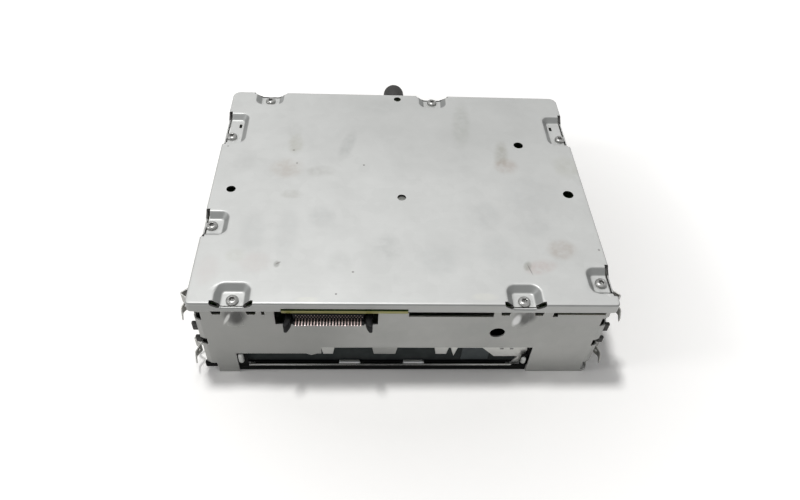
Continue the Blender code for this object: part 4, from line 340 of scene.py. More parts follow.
    def stained_or_shaded(self, tree: bpy.types.NodeTree, place: Any, base: Tuple[Any, Any], mark: Mark) -> Any:
        """Lays one mark over a colour: strong in the middle of its ellipse, and nothing at its edge.

        Args:
            tree: the material's node tree.
            place: the output that gives the object's coordinates.
            base: the outputs that give the colour so far and the noise that breaks up its edge.
            mark: the place, size and colour of the stain, painted shade or painted highlight.

        Returns:
            The output of the colour with the mark laid over it.
        """
        (a, b), (half_a, half_b), turn = mark.centre, mark.half, math.radians(mark.turn)
        if mark.upright:
            location, rotation = (a, self.marked_wall, b), (0.0, turn, 0.0)
            scale = (half_a, self.mark_depth[0], half_b)
        else:
            location, rotation = (a, b, UNIT.height), (0.0, 0.0, turn)
            scale = (half_a, half_b, self.mark_depth[1])
        spot = add_node(
            tree, "Mapping",
            {"Vector": place, "Location": location, "Rotation": rotation, "Scale": scale},
            vector_type="TEXTURE",
        )
        ball = add_node(tree, "TexGradient", {0: spot}, gradient_type="SPHERICAL")
        broken = add_node(
            tree, "MapRange",
            {"Value": base[1], "From Min": 0.35, "From Max": 0.62, "To Min": 1 - mark.ragged},
            clamp=True,
        )
        soft = add_node(
            tree, "MapRange",
            {"Value": ball.outputs["Fac"], "From Max": 0.6, "To Max": mark.strength},
            clamp=True, interpolation_type="SMOOTHSTEP",
        )
        amount = add_node(tree, "Math", {0: soft, 1: broken}, operation="MULTIPLY")
        mixed = add_node(tree, "Mix", {0: amount, 6: base[0], 7: linear(mark.colour)}, data_type="RGBA")
        return mixed.outputs[2]


@dataclass(frozen=True)
class Plated(Finish):
    """Small turned or drawn metal with a thin plating: even colour, faint haze, sharp glints."""

    light: str = "#bdbdb9"
    dark: str = "#9c9c99"
    metallic: float = 0.85
    roughness: float = 0.3
    haze: float = 1.2 * MM
    rounding: float = 0.15 * MM

    def dress(self, tree: bpy.types.NodeTree, shader: bpy.types.Node) -> None:
        """Gives a fine haze to the colour and the roughness.

        Args:
            tree: the material's node tree.
            shader: its principled shader.
        """
        place = add_node(tree, "TexCoord").outputs["Object"]
        haze = add_node(
            tree, "TexNoise", {"Vector": place, "Scale": 1 / self.haze, "Detail": 4.0, "Roughness": 0.6}
        )
        colour = add_node(
            tree, "ValToRGB", {"Fac": haze.outputs["Fac"]}, stops=((0.35, self.dark), (0.65, self.light))
        )
        gloss = add_node(
            tree, "MapRange",
            {
                "Value": haze.outputs["Fac"], "From Min": 0.3, "From Max": 0.7,
                "To Min": self.roughness + 0.1, "To Max": self.roughness - 0.06,
            },
        )
        normal, _ = self.worn_edge(tree, self.rounding)
        base = {"Base Color": colour, "Metallic": self.metallic}
        connect(tree, shader, {**base, "Roughness": gloss, "Normal": normal})


@dataclass(frozen=True)
class Moulded(Finish):
    """Moulded plastic or rubber: one colour with faint flow, a fine skin and rubbed edges."""

    colour: str = "#1c1d1e"
    bloom: str = "#2b2c2d"
    edge: str = "#4a4a49"
    roughness: float = 0.45
    ior: float = 1.5
    skin: float = 0.25 * MM
    skin_depth: float = 0.02 * MM
    flow: float = 1 / 160
    rounding: float = 0.2 * MM
    specular: float = 0.5

    def dress(self, tree: bpy.types.NodeTree, shader: bpy.types.Node) -> None:
        """Mixes the flow into the colour and the skin into the bump.

        Args:
            tree: the material's node tree.
            shader: its principled shader.
        """
        place = add_node(tree, "TexCoord").outputs["Object"]
        flow = add_node(tree, "TexNoise", {"Vector": place, "Scale": 1 / self.flow, "Detail": 5.0})
        skin = add_node(tree, "TexNoise", {"Vector": place, "Scale": 1 / self.skin, "Detail": 2.0})
        tone = add_node(
            tree, "ValToRGB", {"Fac": flow.outputs["Fac"]}, stops=((0.4, self.colour), (0.75, self.bloom))
        )
        normal, edge = self.worn_edge(tree, self.rounding)
        share = add_node(tree, "Math", {0: edge, 1: 0.5}, operation="MULTIPLY")
        worn = add_node(
            tree, "Mix", {0: share, 6: tone.outputs["Color"], 7: linear(self.edge)}, data_type="RGBA"
        )
        gloss = add_node(
            tree, "MapRange",
            {
                "Value": flow.outputs["Fac"], "From Min": 0.3, "From Max": 0.7,
                "To Min": self.roughness - 0.06, "To Max": self.roughness + 0.08,
            },
        )
        bump = add_node(
            tree, "Bump",
            {
                "Strength": 0.25, "Distance": self.skin_depth, "Height": skin.outputs["Fac"],
                "Normal": normal,
            },
        )
        base = {"Base Color": worn.outputs[2], "IOR": self.ior, "Specular IOR Level": self.specular}
        connect(tree, shader, {**base, "Roughness": gloss, "Normal": bump})


@dataclass(frozen=True)
class Laminate(Finish):
    """Glass fibre board: a lacquered face, and a cut edge that shows its yellow layers."""

    face: str = "#3d5a2c"
    track: str = "#55743a"
    edge: str = "#b9b56a"
    edge_dark: str = "#8f8d4a"
    layer: float = 0.2 * MM
    fibre: float = 1 / 60
    track_pitch: float = 1.9 * MM
    roughness: float = 0.4
    ior: float = 1.55

    def dress(self, tree: bpy.types.NodeTree, shader: bpy.types.Node) -> None:
        """Shows tracks on level faces and layers on upright ones.

        Args:
            tree: the material's node tree.
            shader: its principled shader.
        """
        place = add_node(tree, "TexCoord").outputs["Object"]
        facing = add_node(tree, "NewGeometry")
        parts = add_node(tree, "SeparateXYZ", {0: facing.outputs["True Normal"]})
        level = add_node(tree, "Math", {0: parts.outputs["Z"]}, operation="ABSOLUTE")
        is_face = add_node(tree, "Math", {0: level, 1: 0.5}, operation="GREATER_THAN")
        cells = add_node(
            tree, "TexVoronoi",
            {"Vector": place, "Scale": 1 / (4 * self.track_pitch)},
            distance="CHEBYCHEV", feature="F1",
        )
        ridges = add_node(tree, "Math", {0: cells.outputs["Distance"], 1: 0.12}, operation="PINGPONG")
        faces = add_node(tree, "ValToRGB", {"Fac": ridges}, stops=((0.04, self.face), (0.08, self.track)))
        stretch = (1 / self.fibre, 1 / self.fibre, 1 / self.layer)
        layers_place = add_node(tree, "Mapping", {"Vector": place, "Scale": stretch})
        layers = add_node(tree, "TexNoise", {"Vector": layers_place, "Scale": 1.0, "Detail": 3.0})
        edges = add_node(
            tree, "ValToRGB",
            {"Fac": layers.outputs["Fac"]},
            stops=((0.38, self.edge_dark), (0.58, self.edge)),
        )
        colour = add_node(
            tree, "Mix",
            {0: is_face, 6: edges.outputs["Color"], 7: faces.outputs["Color"]},
            data_type="RGBA",
        )
        bump = add_node(
            tree, "Bump", {"Strength": 0.3, "Distance": 0.03 * MM, "Height": layers.outputs["Fac"]}
        )
        base = {"Base Color": colour.outputs[2], "Roughness": self.roughness}
        connect(tree, shader, {**base, "IOR": self.ior, "Normal": bump})


@dataclass(frozen=True)
class Striped(Finish):
    """Something thin laid side by side, such as ribbon conductors or enamelled wire."""

    light: str = "#dcd8ca"
    dark: str = "#8d9094"
    pitch: float = 1.0 * MM
    metallic: float = 0.0
    roughness: float = 0.4
    across: str = "X"

    def dress(self, tree: bpy.types.NodeTree, shader: bpy.types.Node) -> None:
        """Draws bands a pitch apart, in colour and in height.

        Args:
            tree: the material's node tree.
            shader: its principled shader.
        """
        place = add_node(tree, "TexCoord").outputs["Object"]
        # the wave node draws one band each 0.314 of its own unit at a scale of one
        bands = add_node(
            tree, "TexWave",
            {"Vector": place, "Scale": 0.314 / self.pitch, "Distortion": 0.4, "Detail": 1.0},
            wave_type="BANDS", bands_direction=self.across,
        )
        colour = add_node(
            tree, "ValToRGB", {"Fac": bands.outputs["Fac"]}, stops=((0.35, self.dark), (0.6, self.light))
        )
        bump = add_node(
            tree, "Bump", {"Strength": 0.6, "Distance": 0.15 * self.pitch, "Height": bands.outputs["Fac"]}
        )
        base = {"Base Color": colour, "Metallic": self.metallic}
        connect(tree, shader, {**base, "Roughness": self.roughness, "Normal": bump})


@dataclass(frozen=True)
class ClearLens(Finish):
    """A moulded acrylic lens with a faint blue coating."""

    tint: str = "#dfe6f5"
    ior: float = 1.49
    haze: float = 1 / 900

    def dress(self, tree: bpy.types.NodeTree, shader: bpy.types.Node) -> None:
        """Lets light through, with a little haze in the coating.

        Args:
            tree: the material's node tree.
            shader: its principled shader.
        """
        place = add_node(tree, "TexCoord").outputs["Object"]
        haze = add_node(tree, "TexNoise", {"Vector": place, "Scale": 1 / self.haze, "Detail": 2.0})
        gloss = add_node(
            tree, "MapRange",
            {
                "Value": haze.outputs["Fac"], "From Min": 0.3, "From Max": 0.7, "To Min": 0.03,
                "To Max": 0.08,
            },
        )
        base = {"Base Color": linear(self.tint), "Transmission Weight": 1.0}
        connect(tree, shader, {**base, "IOR": self.ior, "Roughness": gloss})


# One broad patch of painted shade over the rear and the right, then fingerprints, water stains, specks and
# a scratch on the cover.
COVER_STAINS_AND_SHADE = (
    Mark((0.0300, 0.0640), (0.1200, 0.0720), "#a6a7a5", 0.30, 0, 0.0),
    Mark((-0.0551, 0.0100), (0.0102, 0.0093), "#a69a8f", 0.36, 12),
    Mark((-0.0521, 0.0285), (0.0050, 0.0099), "#9d9b8c", 0.36, 0),
    Mark((-0.0390, 0.0081), (0.0098, 0.0050), "#9c9b96", 0.32, 4),
    Mark((-0.0262, 0.0285), (0.0044, 0.0150), "#9c9e9c", 0.36, -14, 0.5),
    Mark((-0.0514, -0.0085), (0.0065, 0.0039), "#a09f97", 0.32, 0),
    Mark((-0.0534, 0.0391), (0.0051, 0.0093), "#a4a5a0", 0.21, 0),
    Mark((-0.0515, -0.0331), (0.0066, 0.0206), "#a9abaa", 0.22, 0, 0.4),
    Mark((-0.0366, -0.0228), (0.0079, 0.0089), "#a4a6a5", 0.26, 0, 0.5),
    Mark((-0.0667, -0.0333), (0.0075, 0.0152), "#a8aaa9", 0.22, 0, 0.4),
    Mark((-0.0634, -0.0509), (0.0089, 0.0078), "#b4a6a2", 0.22, 10, 0.4),
    Mark((-0.0723, -0.0470), (0.0058, 0.0050), "#acaea0", 0.22, 0, 0.4),
    Mark((-0.0826, -0.0555), (0.0067, 0.0108), "#b7aaa8", 0.19, 0, 0.4),
    Mark((-0.0276, -0.0505), (0.0074, 0.0078), "#a7a9a7", 0.22, 0, 0.5),
    Mark((-0.0074, -0.0415), (0.0088, 0.0105), "#a2a4a2", 0.26, 0, 0.7),
    Mark((0.0141, -0.0489), (0.0107, 0.0121), "#a4a7a6", 0.26, 0, 0.3),
    Mark((0.0392, -0.0208), (0.0082, 0.0124), "#a4a6a5", 0.26, 0, 0.4),
    Mark((0.0408, -0.0439), (0.0101, 0.0125), "#a6a9a8", 0.22, 0, 0.4),
    Mark((0.0616, -0.0068), (0.0180, 0.0166), "#a8aaaa", 0.19, 0, 0.5),
    Mark((0.0613, -0.0282), (0.0092, 0.0096), "#a4a6a5", 0.22, 0, 0.5),
    Mark((0.0334, 0.0469), (0.0061, 0.0239), "#9a9c95", 0.34, -6),
    Mark((0.0516, 0.0234), (0.0045, 0.0130), "#8b887a", 0.42, -8, 0.5),
    Mark((0.0529, 0.0142), (0.0075, 0.0076), "#9e8e82", 0.41, 0),
    Mark((0.0838, 0.0142), (0.0091, 0.0106), "#a5a595", 0.27, 0, 0.5),
    Mark((0.0701, -0.0423), (0.0084, 0.0075), "#9a8a7e", 0.41, 14),
    Mark((0.0589, -0.0524), (0.0094, 0.0050), "#b29c97", 0.36, 18),
    Mark((-0.0094, 0.0624), (0.0148, 0.0102), "#a5a7a5", 0.22, 0, 0.5),
    Mark((-0.0759, 0.0154), (0.0078, 0.0112), "#a5a6a4", 0.19, 0, 0.5),
    Mark((0.0326, -0.0690), (0.0072, 0.0026), "#d7d6ca", 0.3, 0, 0.3),
    Mark((-0.0403, -0.0711), (0.0060, 0.0022), "#d7d6ca", 0.3, 0, 0.3),
    Mark((0.0531, -0.0519), (0.0022, 0.0036), "#7b7a6f", 0.47, -20, 0.4),
    Mark((-0.0543, -0.0519), (0.0017, 0.0025), "#767671", 0.51, 0, 0.4),
    Mark((-0.0178, 0.0131), (0.0007, 0.0007), "#5d5a52", 0.8, 0, 0.1),
    Mark((-0.0528, 0.0237), (0.0009, 0.0008), "#6a665e", 0.59, 0, 0.1),
    Mark((-0.0505, 0.0138), (0.0006, 0.0010), "#6a665e", 0.59, 0, 0.1),
    Mark((-0.0220, -0.0560), (0.0007, 0.0006), "#55534d", 0.8, 0, 0.1),
    Mark((-0.0287, -0.0679), (0.0006, 0.0006), "#4f4d48", 0.8, 0, 0.1),
    Mark((-0.0537, -0.0513), (0.0017, 0.0006), "#696661", 0.59, 35, 0.1),
    Mark((0.0868, -0.0421), (0.0007, 0.0009), "#5c5a54", 0.59, 0, 0.1),
    Mark((-0.0856, 0.0260), (0.0006, 0.0007), "#5c5a54", 0.59, 0, 0.1),
    Mark((0.05385, -0.0538), (0.0042, 0.00035), "#6d6e6c", 0.64, -76, 0.3),
)

# Painted light on the front wall: painted shade over its left part, painted shadow over each pressed rib's
# right side, and a painted highlight on each rib's left flank.
WALL_PAINTED_LIGHT = (
    Mark((-0.0640, 0.0300), (0.0560, 0.0420), "#8b8b88", 0.55, 0, 0.0, True),
    Mark((-0.0702, 0.0424), (0.0062, 0.0068), "#2e2e2d", 0.85, 20, 0.1, True),
    Mark((-0.0737, 0.0404), (0.0009, 0.0058), "#f4f4f2", 0.75, 24, 0.1, True),
    Mark((0.0508, 0.0424), (0.0060, 0.0062), "#333332", 0.75, -8, 0.1, True),
    Mark((0.0472, 0.0405), (0.0017, 0.0054), "#ffffff", 0.85, 12, 0.1, True),
)

# The plate behind the slot gets painted shade in its middle, where the light doesn't reach.
PLATE_PAINTED_SHADE = (Mark((-0.0080, 0.0120), (0.0520, 0.0300), "#5c5c5b", 1.0, 0, 0.0, True),)

# Zinc dipped, cold rolled steel: satin grey with soft clouds, handled until it is smudged, with painted
# shade on its pockets' slopes, its flange and its rear.
COVER_STEEL = SheetMetal("zinc_dipped_steel_cover", slope_shade="#b2b3b3", marks_and_painted_light=COVER_STAINS_AND_SHADE, rounding=0.25 * MM)
# The same sheet in the walls: a little darker, as painted shade, and smoother, with the painted light
# above.
SHADED_WALL_STEEL = SheetMetal(
    "zinc_dipped_steel_walls", light="#bcbcb9", dark="#afb0ad", roughness=0.38, marks_and_painted_light=WALL_PAINTED_LIGHT
)
# Turned steel with a dull coat: a flat grey with no glints.
SPACER_STEEL = Plated("dull_turned_steel", light="#8b8c87", dark="#6f706c", metallic=0.2, roughness=0.55)
# Nearly black steel: painted shade on the cover's cut faces, which darkens its slits, holes and gaps, and
# on the side walls' stops.
CUT_STEEL_AND_SHADE = Plated("tarnished_cut_steel", light="#3a3937", dark="#1d1c1b", metallic=0.2, roughness=0.6)
# Tin plated steel sheet: brighter and smoother, with no crystals to see, and with painted shade over the
# middle of the slot.
BRIGHT_SHEET = SheetMetal(
    "tin_plated_steel_sheet",
    light="#efefeb", dark="#e0e0dc", roughness=0.33, crystal=9 * MM, metallic=0.45, marks_and_painted_light=PLATE_PAINTED_SHADE,
)
# Zinc dipped steel in a paler, painted-lit copy: it brightens the guide tabs' ends in the slot's shade.
LIT_TAB_SHEET = SheetMetal("rubbed_zinc_dipped_steel", light="#f6f7f8", dark="#eceeef", roughness=0.4)
# Hard rolled stainless strip: bright, drawn lengthwise.
SPRING_STRIP = SheetMetal(
    "spring_steel_strip", light="#a5a4a0", dark="#8b8a86", metallic=0.6, roughness=0.3, grain_along_y=True
)
# Bright zinc plating on cold headed steel: neutral grey glints.
ZINC_PLATING = Plated("zinc_plated_fastener", light="#a3a3a1", dark="#7d7d7b", metallic=0.8)
# Hot tinned brass: warm white, a little pink.
TINNED_BRASS = Plated("tinned_brass_pin", light="#c4b4b1", dark="#8f7d7a", roughness=0.4, metallic=0.6)
# Sand blasted die cast aluminium: matt light grey.
CAST_ALUMINIUM = SheetMetal(
    "die_cast_aluminium",
    light="#c6c7c5", dark="#b2b3b1", metallic=0.6, roughness=0.52, grain_width=0.8 * MM,
)
# Glass filled polyester, moulded: deep black with a soft sheen.
BLACK_POLYESTER = Moulded(
    "moulded_black_polyester",
    colour="#090a0b", bloom="#121314", edge="#2c2c2b", roughness=0.55, ior=1.57, specular=0.12,
)
# Matt black: painted shadow under the base's raised front edge and the left foot's step, and the black
# cheeks at the slot's ends.
MATT_BLACK_AND_SHADOW = Moulded(
    "baked_black_lacquer", colour="#070707", bloom="#101010", edge="#1d1d1d", roughness=0.85, specular=0.12
)
# Acetal, moulded: milky white and slippery.
WHITE_ACETAL = Moulded(
    "moulded_white_acetal", colour="#e4e2da", bloom="#efeee8", edge="#f6f5f1", roughness=0.35, ior=1.48
)
# Pressed wool felt, dyed: a matt grey black.
FELT = Moulded(
    "dyed_pressed_felt",
    colour="#383c3c", bloom="#474b4b", edge="#474b4b", roughness=0.9, specular=0.1,
    skin=0.4 * MM, skin_depth=0.1 * MM,
)
# The same polyester, rubbed grey where discs pass.
RUBBED_POLYESTER = Moulded(
    "rubbed_black_polyester",
    colour="#454b4d", bloom="#53595b", edge="#6d7476", roughness=0.5, ior=1.57, specular=0.2,
)
# Nitrile rubber, moulded: dark grey, matt, with a dusty bloom.
NITRILE = Moulded(
    "moulded_nitrile_rubber",
    colour="#232221", bloom="#343331", edge="#434240", roughness=0.72, ior=1.52,
    skin=0.5 * MM, skin_depth=0.05 * MM,
)
# Fibre glass laminate with green lacquer: paler tracks, and straw yellow layers at its cut edge.
BOARD = Laminate("glass_fibre_laminate")
# Polyester film with flat printed conductors: pale and grey stripes.
RIBBON_FILM = Striped("polyester_ribbon_film")
# Enamelled copper wire in close turns: bright warm ridges with dark gaps.
ENAMELLED_COPPER = Striped(
    "enamelled_copper_wire",
    light="#c8793f", dark="#7d4220", pitch=0.9 * MM, metallic=0.9, roughness=0.3, across="Z",
)
# Coated acrylic, moulded: clear, with a faint blue.
ACRYLIC = ClearLens("coated_acrylic_lens")

SLOT_FINISHES: Dict[str, Finish] = {
    "galvanised_steel": SHADED_WALL_STEEL,
    "bright_steel": BRIGHT_SHEET,
    "spring_steel": SPRING_STRIP,
    "screw_steel": ZINC_PLATING,
    "cast_aluminium": CAST_ALUMINIUM,
    "black_plastic": BLACK_POLYESTER,
    "white_plastic": WHITE_ACETAL,
    "circuit_board": BOARD,
    "black_rubber": NITRILE,
    "copper_wire": ENAMELLED_COPPER,
    "lens_glass": ACRYLIC,
    "ribbon_film": RIBBON_FILM,
}


# Surfaces as arrays


def grid_faces(rows: int, columns: int, wrap: bool) -> Array:
    """Numbers the four corners of each cell of a grid of points, row after row.

    Args:
        rows: how many rows of points.
        columns: how many points in a row.
        wrap: whether each row closes on its first point.

    Returns:
        One line of four point numbers for each cell.
    """
    row = np.arange(rows - 1)[:, None] * columns
    column = np.arange(columns if wrap else columns - 1)[None, :]
    following = (column + 1) % columns
    corners = (row + column, row + following, row + columns + following, row + columns + column)
    return np.stack([corner.ravel() for corner in corners], axis=1)


class Shape:
    """A mesh in the making: surfaces given as arrays of points, joined in one object."""

    def __init__(self) -> None:
        """Starts with no points."""
        self.points: List[Array] = []
        self.faces: List[List[int]] = []
        self.count = 0

    def surface(self, points: Array, wrap: bool = True, caps: bool = False) -> "Shape":
        """Adds a grid of points as four-sided faces.

        Args:
            points: rows by columns by three coordinates.
            wrap: whether each row is a closed ring.
            caps: whether the first and last rings are filled.

        Returns:
            This shape.
        """
        rows, columns = points.shape[:2]
        self.faces += (grid_faces(rows, columns, wrap) + self.count).tolist()
        if caps:
            ring = np.arange(columns) + self.count
            self.faces += [ring[::-1].tolist(), (ring + (rows - 1) * columns).tolist()]
        self.points.append(points.reshape(-1, 3))
        self.count += rows * columns
        return self

    def block(self, low: Point3, high: Point3, bevel: float = 0.15 * MM) -> "Shape":
        """Adds a box with every edge cut at forty-five degrees.

        Each level is a rectangle whose corners are cut by the bevel, and the two end levels are
        smaller by the bevel all round.

        Args:
            low: the corner with the least x, y and z.
            high: the corner with the most.
            bevel: how much of each edge is cut.

        Returns:
            This shape.
        """
        (x0, y0, z0), (x1, y1, z1) = low, high
        b = min(bevel, MOST * min(x1 - x0, y1 - y0, z1 - z0))
        across = np.array([x0 + b, x1 - b, x1, x1, x1 - b, x0 + b, x0, x0])
        along = np.array([y0, y0, y0 + b, y1 - b, y1, y1, y1 - b, y0 + b])
        middle = np.array([(x0 + x1) / 2, (y0 + y1) / 2])
        shrink = 1 - 2 * b / np.array([x1 - x0, y1 - y0])
        levels = []
        for z, scale in ((z0, shrink), (z0 + b, np.ones(2)), (z1 - b, np.ones(2)), (z1, shrink)):
            flat = (np.stack([across, along], axis=1) - middle) * scale + middle
            levels.append(np.concatenate([flat, np.full((8, 1), z)], axis=1))
        return self.surface(np.array(levels), caps=True)

    def build(self, name: str, finish: Finish, crease: float = 35.0) -> bpy.types.Object:
        """Makes the object: doubles merged, faces outwards, smooth except at creases.

        Args:
            name: the piece's name.
            finish: its finish.
            crease: the angle in degrees past which an edge stays sharp.

        Returns:
            The new object, at the origin.
        """
        mesh = bpy.data.meshes.new(name)
        mesh.from_pydata(np.concatenate(self.points).tolist(), [], self.faces)
        edit = bmesh.new()
        edit.from_mesh(mesh)
        bmesh.ops.remove_doubles(edit, verts=edit.verts, dist=WELD)
        bmesh.ops.recalc_face_normals(edit, faces=edit.faces)
        edit.to_mesh(mesh)
        edit.free()
        obj = bpy.data.objects.new(name, mesh)
        bpy.context.scene.collection.objects.link(obj)
        mesh.materials.append(finish.material())
        smooth(mesh, crease)
        return obj


def smooth(mesh: bpy.types.Mesh, crease: float) -> None:
    """Shades a mesh smooth, except where two faces meet at more than the crease angle."""
    mesh.polygons.foreach_set("use_smooth", np.ones(len(mesh.polygons), bool))
    mesh.set_sharp_from_angle(angle=math.radians(crease))


def settle(obj: bpy.types.Object, crease: float = 35.0) -> bpy.types.Object:
    """Replaces an object's mesh by what its modifiers make of it.

    Args:
        obj: the object, which loses its modifiers.
        crease: the angle in degrees past which an edge stays sharp.

    Returns:
        The same object.
    """
    graph = bpy.context.evaluated_depsgraph_get()
    mesh = bpy.data.meshes.new_from_object(obj.evaluated_get(graph))
    obj.modifiers.clear()
    old, obj.data = obj.data, mesh
    bpy.data.meshes.remove(old)
    mesh.name = obj.name
    smooth(mesh, crease)
    return obj


def carve(
    obj: bpy.types.Object, tools: Sequence[Shape], finish: Finish, crease: float = 35.0
) -> bpy.types.Object:
    """Cuts shapes out of an object and leaves that as its mesh.

    Args:
        obj: the object.
        tools: what is cut out of it.
        finish: the finish of the cut faces.
        crease: the angle in degrees past which an edge stays sharp.

    Returns:
        The same object.
    """
    cutters = [tool.build(f"{obj.name}_tool_{i}", finish) for i, tool in enumerate(tools)]
    for cutter in cutters:
        step = obj.modifiers.new("cut", "BOOLEAN")
        step.operation, step.solver, step.object = "DIFFERENCE", "MANIFOLD", cutter
        step.material_mode = "TRANSFER"
    bpy.context.view_layer.update()
    settle(obj, crease)
    for cutter in cutters:
        bpy.data.meshes.remove(cutter.data)
    return obj


def turned(
    profile: Array, start: Point3, axis: Point3, sides: int, ripple: Optional[Array] = None
) -> Array:
    """Turns a profile round an axis: each point is start + height x axis + radius x (cos, sin).

    Args:
        profile: radius and height of each row.
        start: the point of height zero.
        axis: the direction of growing height.
        sides: how many steps round.
        ripple: a factor on the radius for each row and step, if it isn't round.

    Returns:
        Rows by steps by three coordinates.
    """
    angle = np.arange(sides) * 2 * np.pi / sides
    basis = np.array(Vector(axis).to_track_quat("Z", "Y").to_matrix())
    radius = profile[:, :1] * (np.ones((1, sides)) if ripple is None else ripple)
    local = np.stack(
        [radius * np.cos(angle), radius * np.sin(angle), np.repeat(profile[:, 1:], sides, axis=1)], axis=2
    )
    return local @ basis.T + np.array(start)


def rounded(path: Array, run: float, closed: bool = False, steps: int = 6) -> Array:
    """Rounds a path's corners: each gives way to a parabola from a run before it to a run after it.

    Args:
        path: the corners, one a line.
        run: how far from a corner the rounding starts.
        closed: whether the path is a closed outline.
        steps: points in each rounding.

    Returns:
        The finer path.
    """
    corners = path if closed else path[1:-1]
    before = np.roll(path, 1, axis=0) if closed else path[:-2]
    after = np.roll(path, -1, axis=0) if closed else path[2:]
    to_before, to_after = before - corners, after - corners
    size_before = np.linalg.norm(to_before, axis=1, keepdims=True)
    size_after = np.linalg.norm(to_after, axis=1, keepdims=True)
    near = np.minimum(run, MOST * np.minimum(size_before, size_after))
    first = (corners + to_before / size_before * near)[:, None]
    last = (corners + to_after / size_after * near)[:, None]
    t = np.linspace(0, 1, steps)[None, :, None]
    curve = (1 - t) ** 2 * first + 2 * t * (1 - t) * corners[:, None] + t**2 * last
    curve = curve.reshape(-1, path.shape[1])
    return curve if closed else np.concatenate([path[:1], curve, path[-1:]])


# The unit's frame


@dataclass(frozen=True)
class Unit:
    """Sizes that several sub-assemblies share."""

    width: float = 0.178
    depth: float = 0.1465
    height: float = 0.0516
    sheet: float = 0.8 * MM
    wall_y: float = 0.07215


UNIT = Unit()


class Edge(Enum):
    """A side of the cover, by the direction that it faces."""

    FRONT = (0, -1)
    RIGHT = (1, 0)
    BACK = (0, 1)
    LEFT = (-1, 0)

    @property
    def reach(self) -> float:
        """The distance of this side from the middle."""
        return (UNIT.width if self.value[0] else UNIT.depth) / 2

    @property
    def half_length(self) -> float:
        """Half of this side's length."""
        return (UNIT.depth if self.value[0] else UNIT.width) / 2

    def point(self, along: Array, inward: Array) -> Tuple[Array, Array]:
        """Finds the x and y of places by the side.

        Args:
            along: how far along the side from its middle.
            inward: how far in from the side.

        Returns:
            Their x and y.
        """
        nx, ny = self.value
        out = self.reach - inward
        return along * abs(ny) + out * nx, along * abs(nx) + out * ny

    def local(self, x: Array, y: Array) -> Tuple[Array, Array]:
        """The place along the side and the step inwards of given x and y."""
        nx, ny = self.value
        return x * abs(ny) + y * abs(nx), self.reach - x * nx - y * ny


def dress(obj: bpy.types.Object, body: str, nodes: Sequence[str] = ()) -> bpy.types.Object:
    """Hands a finished piece to the frame, and logs it.

    Args:
        obj: the piece.
        body: the body that it rides on.
        nodes: the solids that it stands for.

    Returns:
        The same object.
    """
    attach(obj, body)
    if nodes:
        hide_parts(*nodes)
    stands_for = list(nodes) or "no solid"
    LOG.info("%s on %s, %d faces, for %s", obj.name, body, len(obj.data.polygons), stands_for)
    return obj


# The pressed cover


@dataclass(frozen=True)
class Pocket:
    """A sunk seat for one cover screw, open at the cover's edge."""

    name: str
    edge: Edge
    along: float
    inset: float = 3.6 * MM
    longer: float = 0.0
    half_floor: float = 4.5 * MM
    reach: float = 8.3 * MM
    depth: float = 2.9 * MM
    flare: float = 3.0 * MM
    corner: float = 1.3 * MM
    softness: float = 0.1
    slit: float = 0.9 * MM

    @property
    def span(self) -> Point2:
        """The first and last places of the floor along the edge."""
        return self.along - self.half_floor, self.along + self.half_floor + self.longer

    def sunk(self, x: Array, y: Array) -> Array:
        """How deep the sheet is pressed at given places.

        With d the signed distance to the floor's rounded outline, negative inside, and
        u = 1 - d / flare, the depth is depth x (g(u) - g(u - 1)), where g(u) is half of u plus the
        root of u squared plus the softness squared. That is a straight slope with soft ends.

        Args:
            x: the places' x.
            y: the places' y.

        Returns:
            The depth at each place, in metres.
        """
        along, inward = self.edge.local(x, y)
        first, last = self.span
        aside = np.abs(along - (first + last) / 2) - ((last - first) / 2 - self.corner)
        ahead = inward - (self.reach - self.corner)
        outside = np.hypot(np.maximum(aside, 0), np.maximum(ahead, 0))
        distance = outside + np.minimum(np.maximum(aside, ahead), 0) - self.corner
        u = 1 - distance / self.flare
        bent = [(v + np.sqrt(v * v + self.softness**2)) / 2 for v in (u, u - 1)]
        return self.depth * (bent[0] - bent[1])


POCKETS = (
    Pocket("front_left", Edge.FRONT, -0.070666, slit=0.5 * MM),
    Pocket("front_right", Edge.FRONT, 0.049306, slit=0.5 * MM),
    Pocket("back_left", Edge.BACK, -0.068886, 5.2 * MM),
    Pocket("back_right", Edge.BACK, 0.019402),
    Pocket("left_back", Edge.LEFT, 0.0364785, longer=9.5 * MM),
    Pocket("left_middle", Edge.LEFT, -0.027542),
    Pocket("right_back", Edge.RIGHT, 0.038969, longer=9.5 * MM),
    Pocket("right_front", Edge.RIGHT, -0.059479, 4.8 * MM),
)


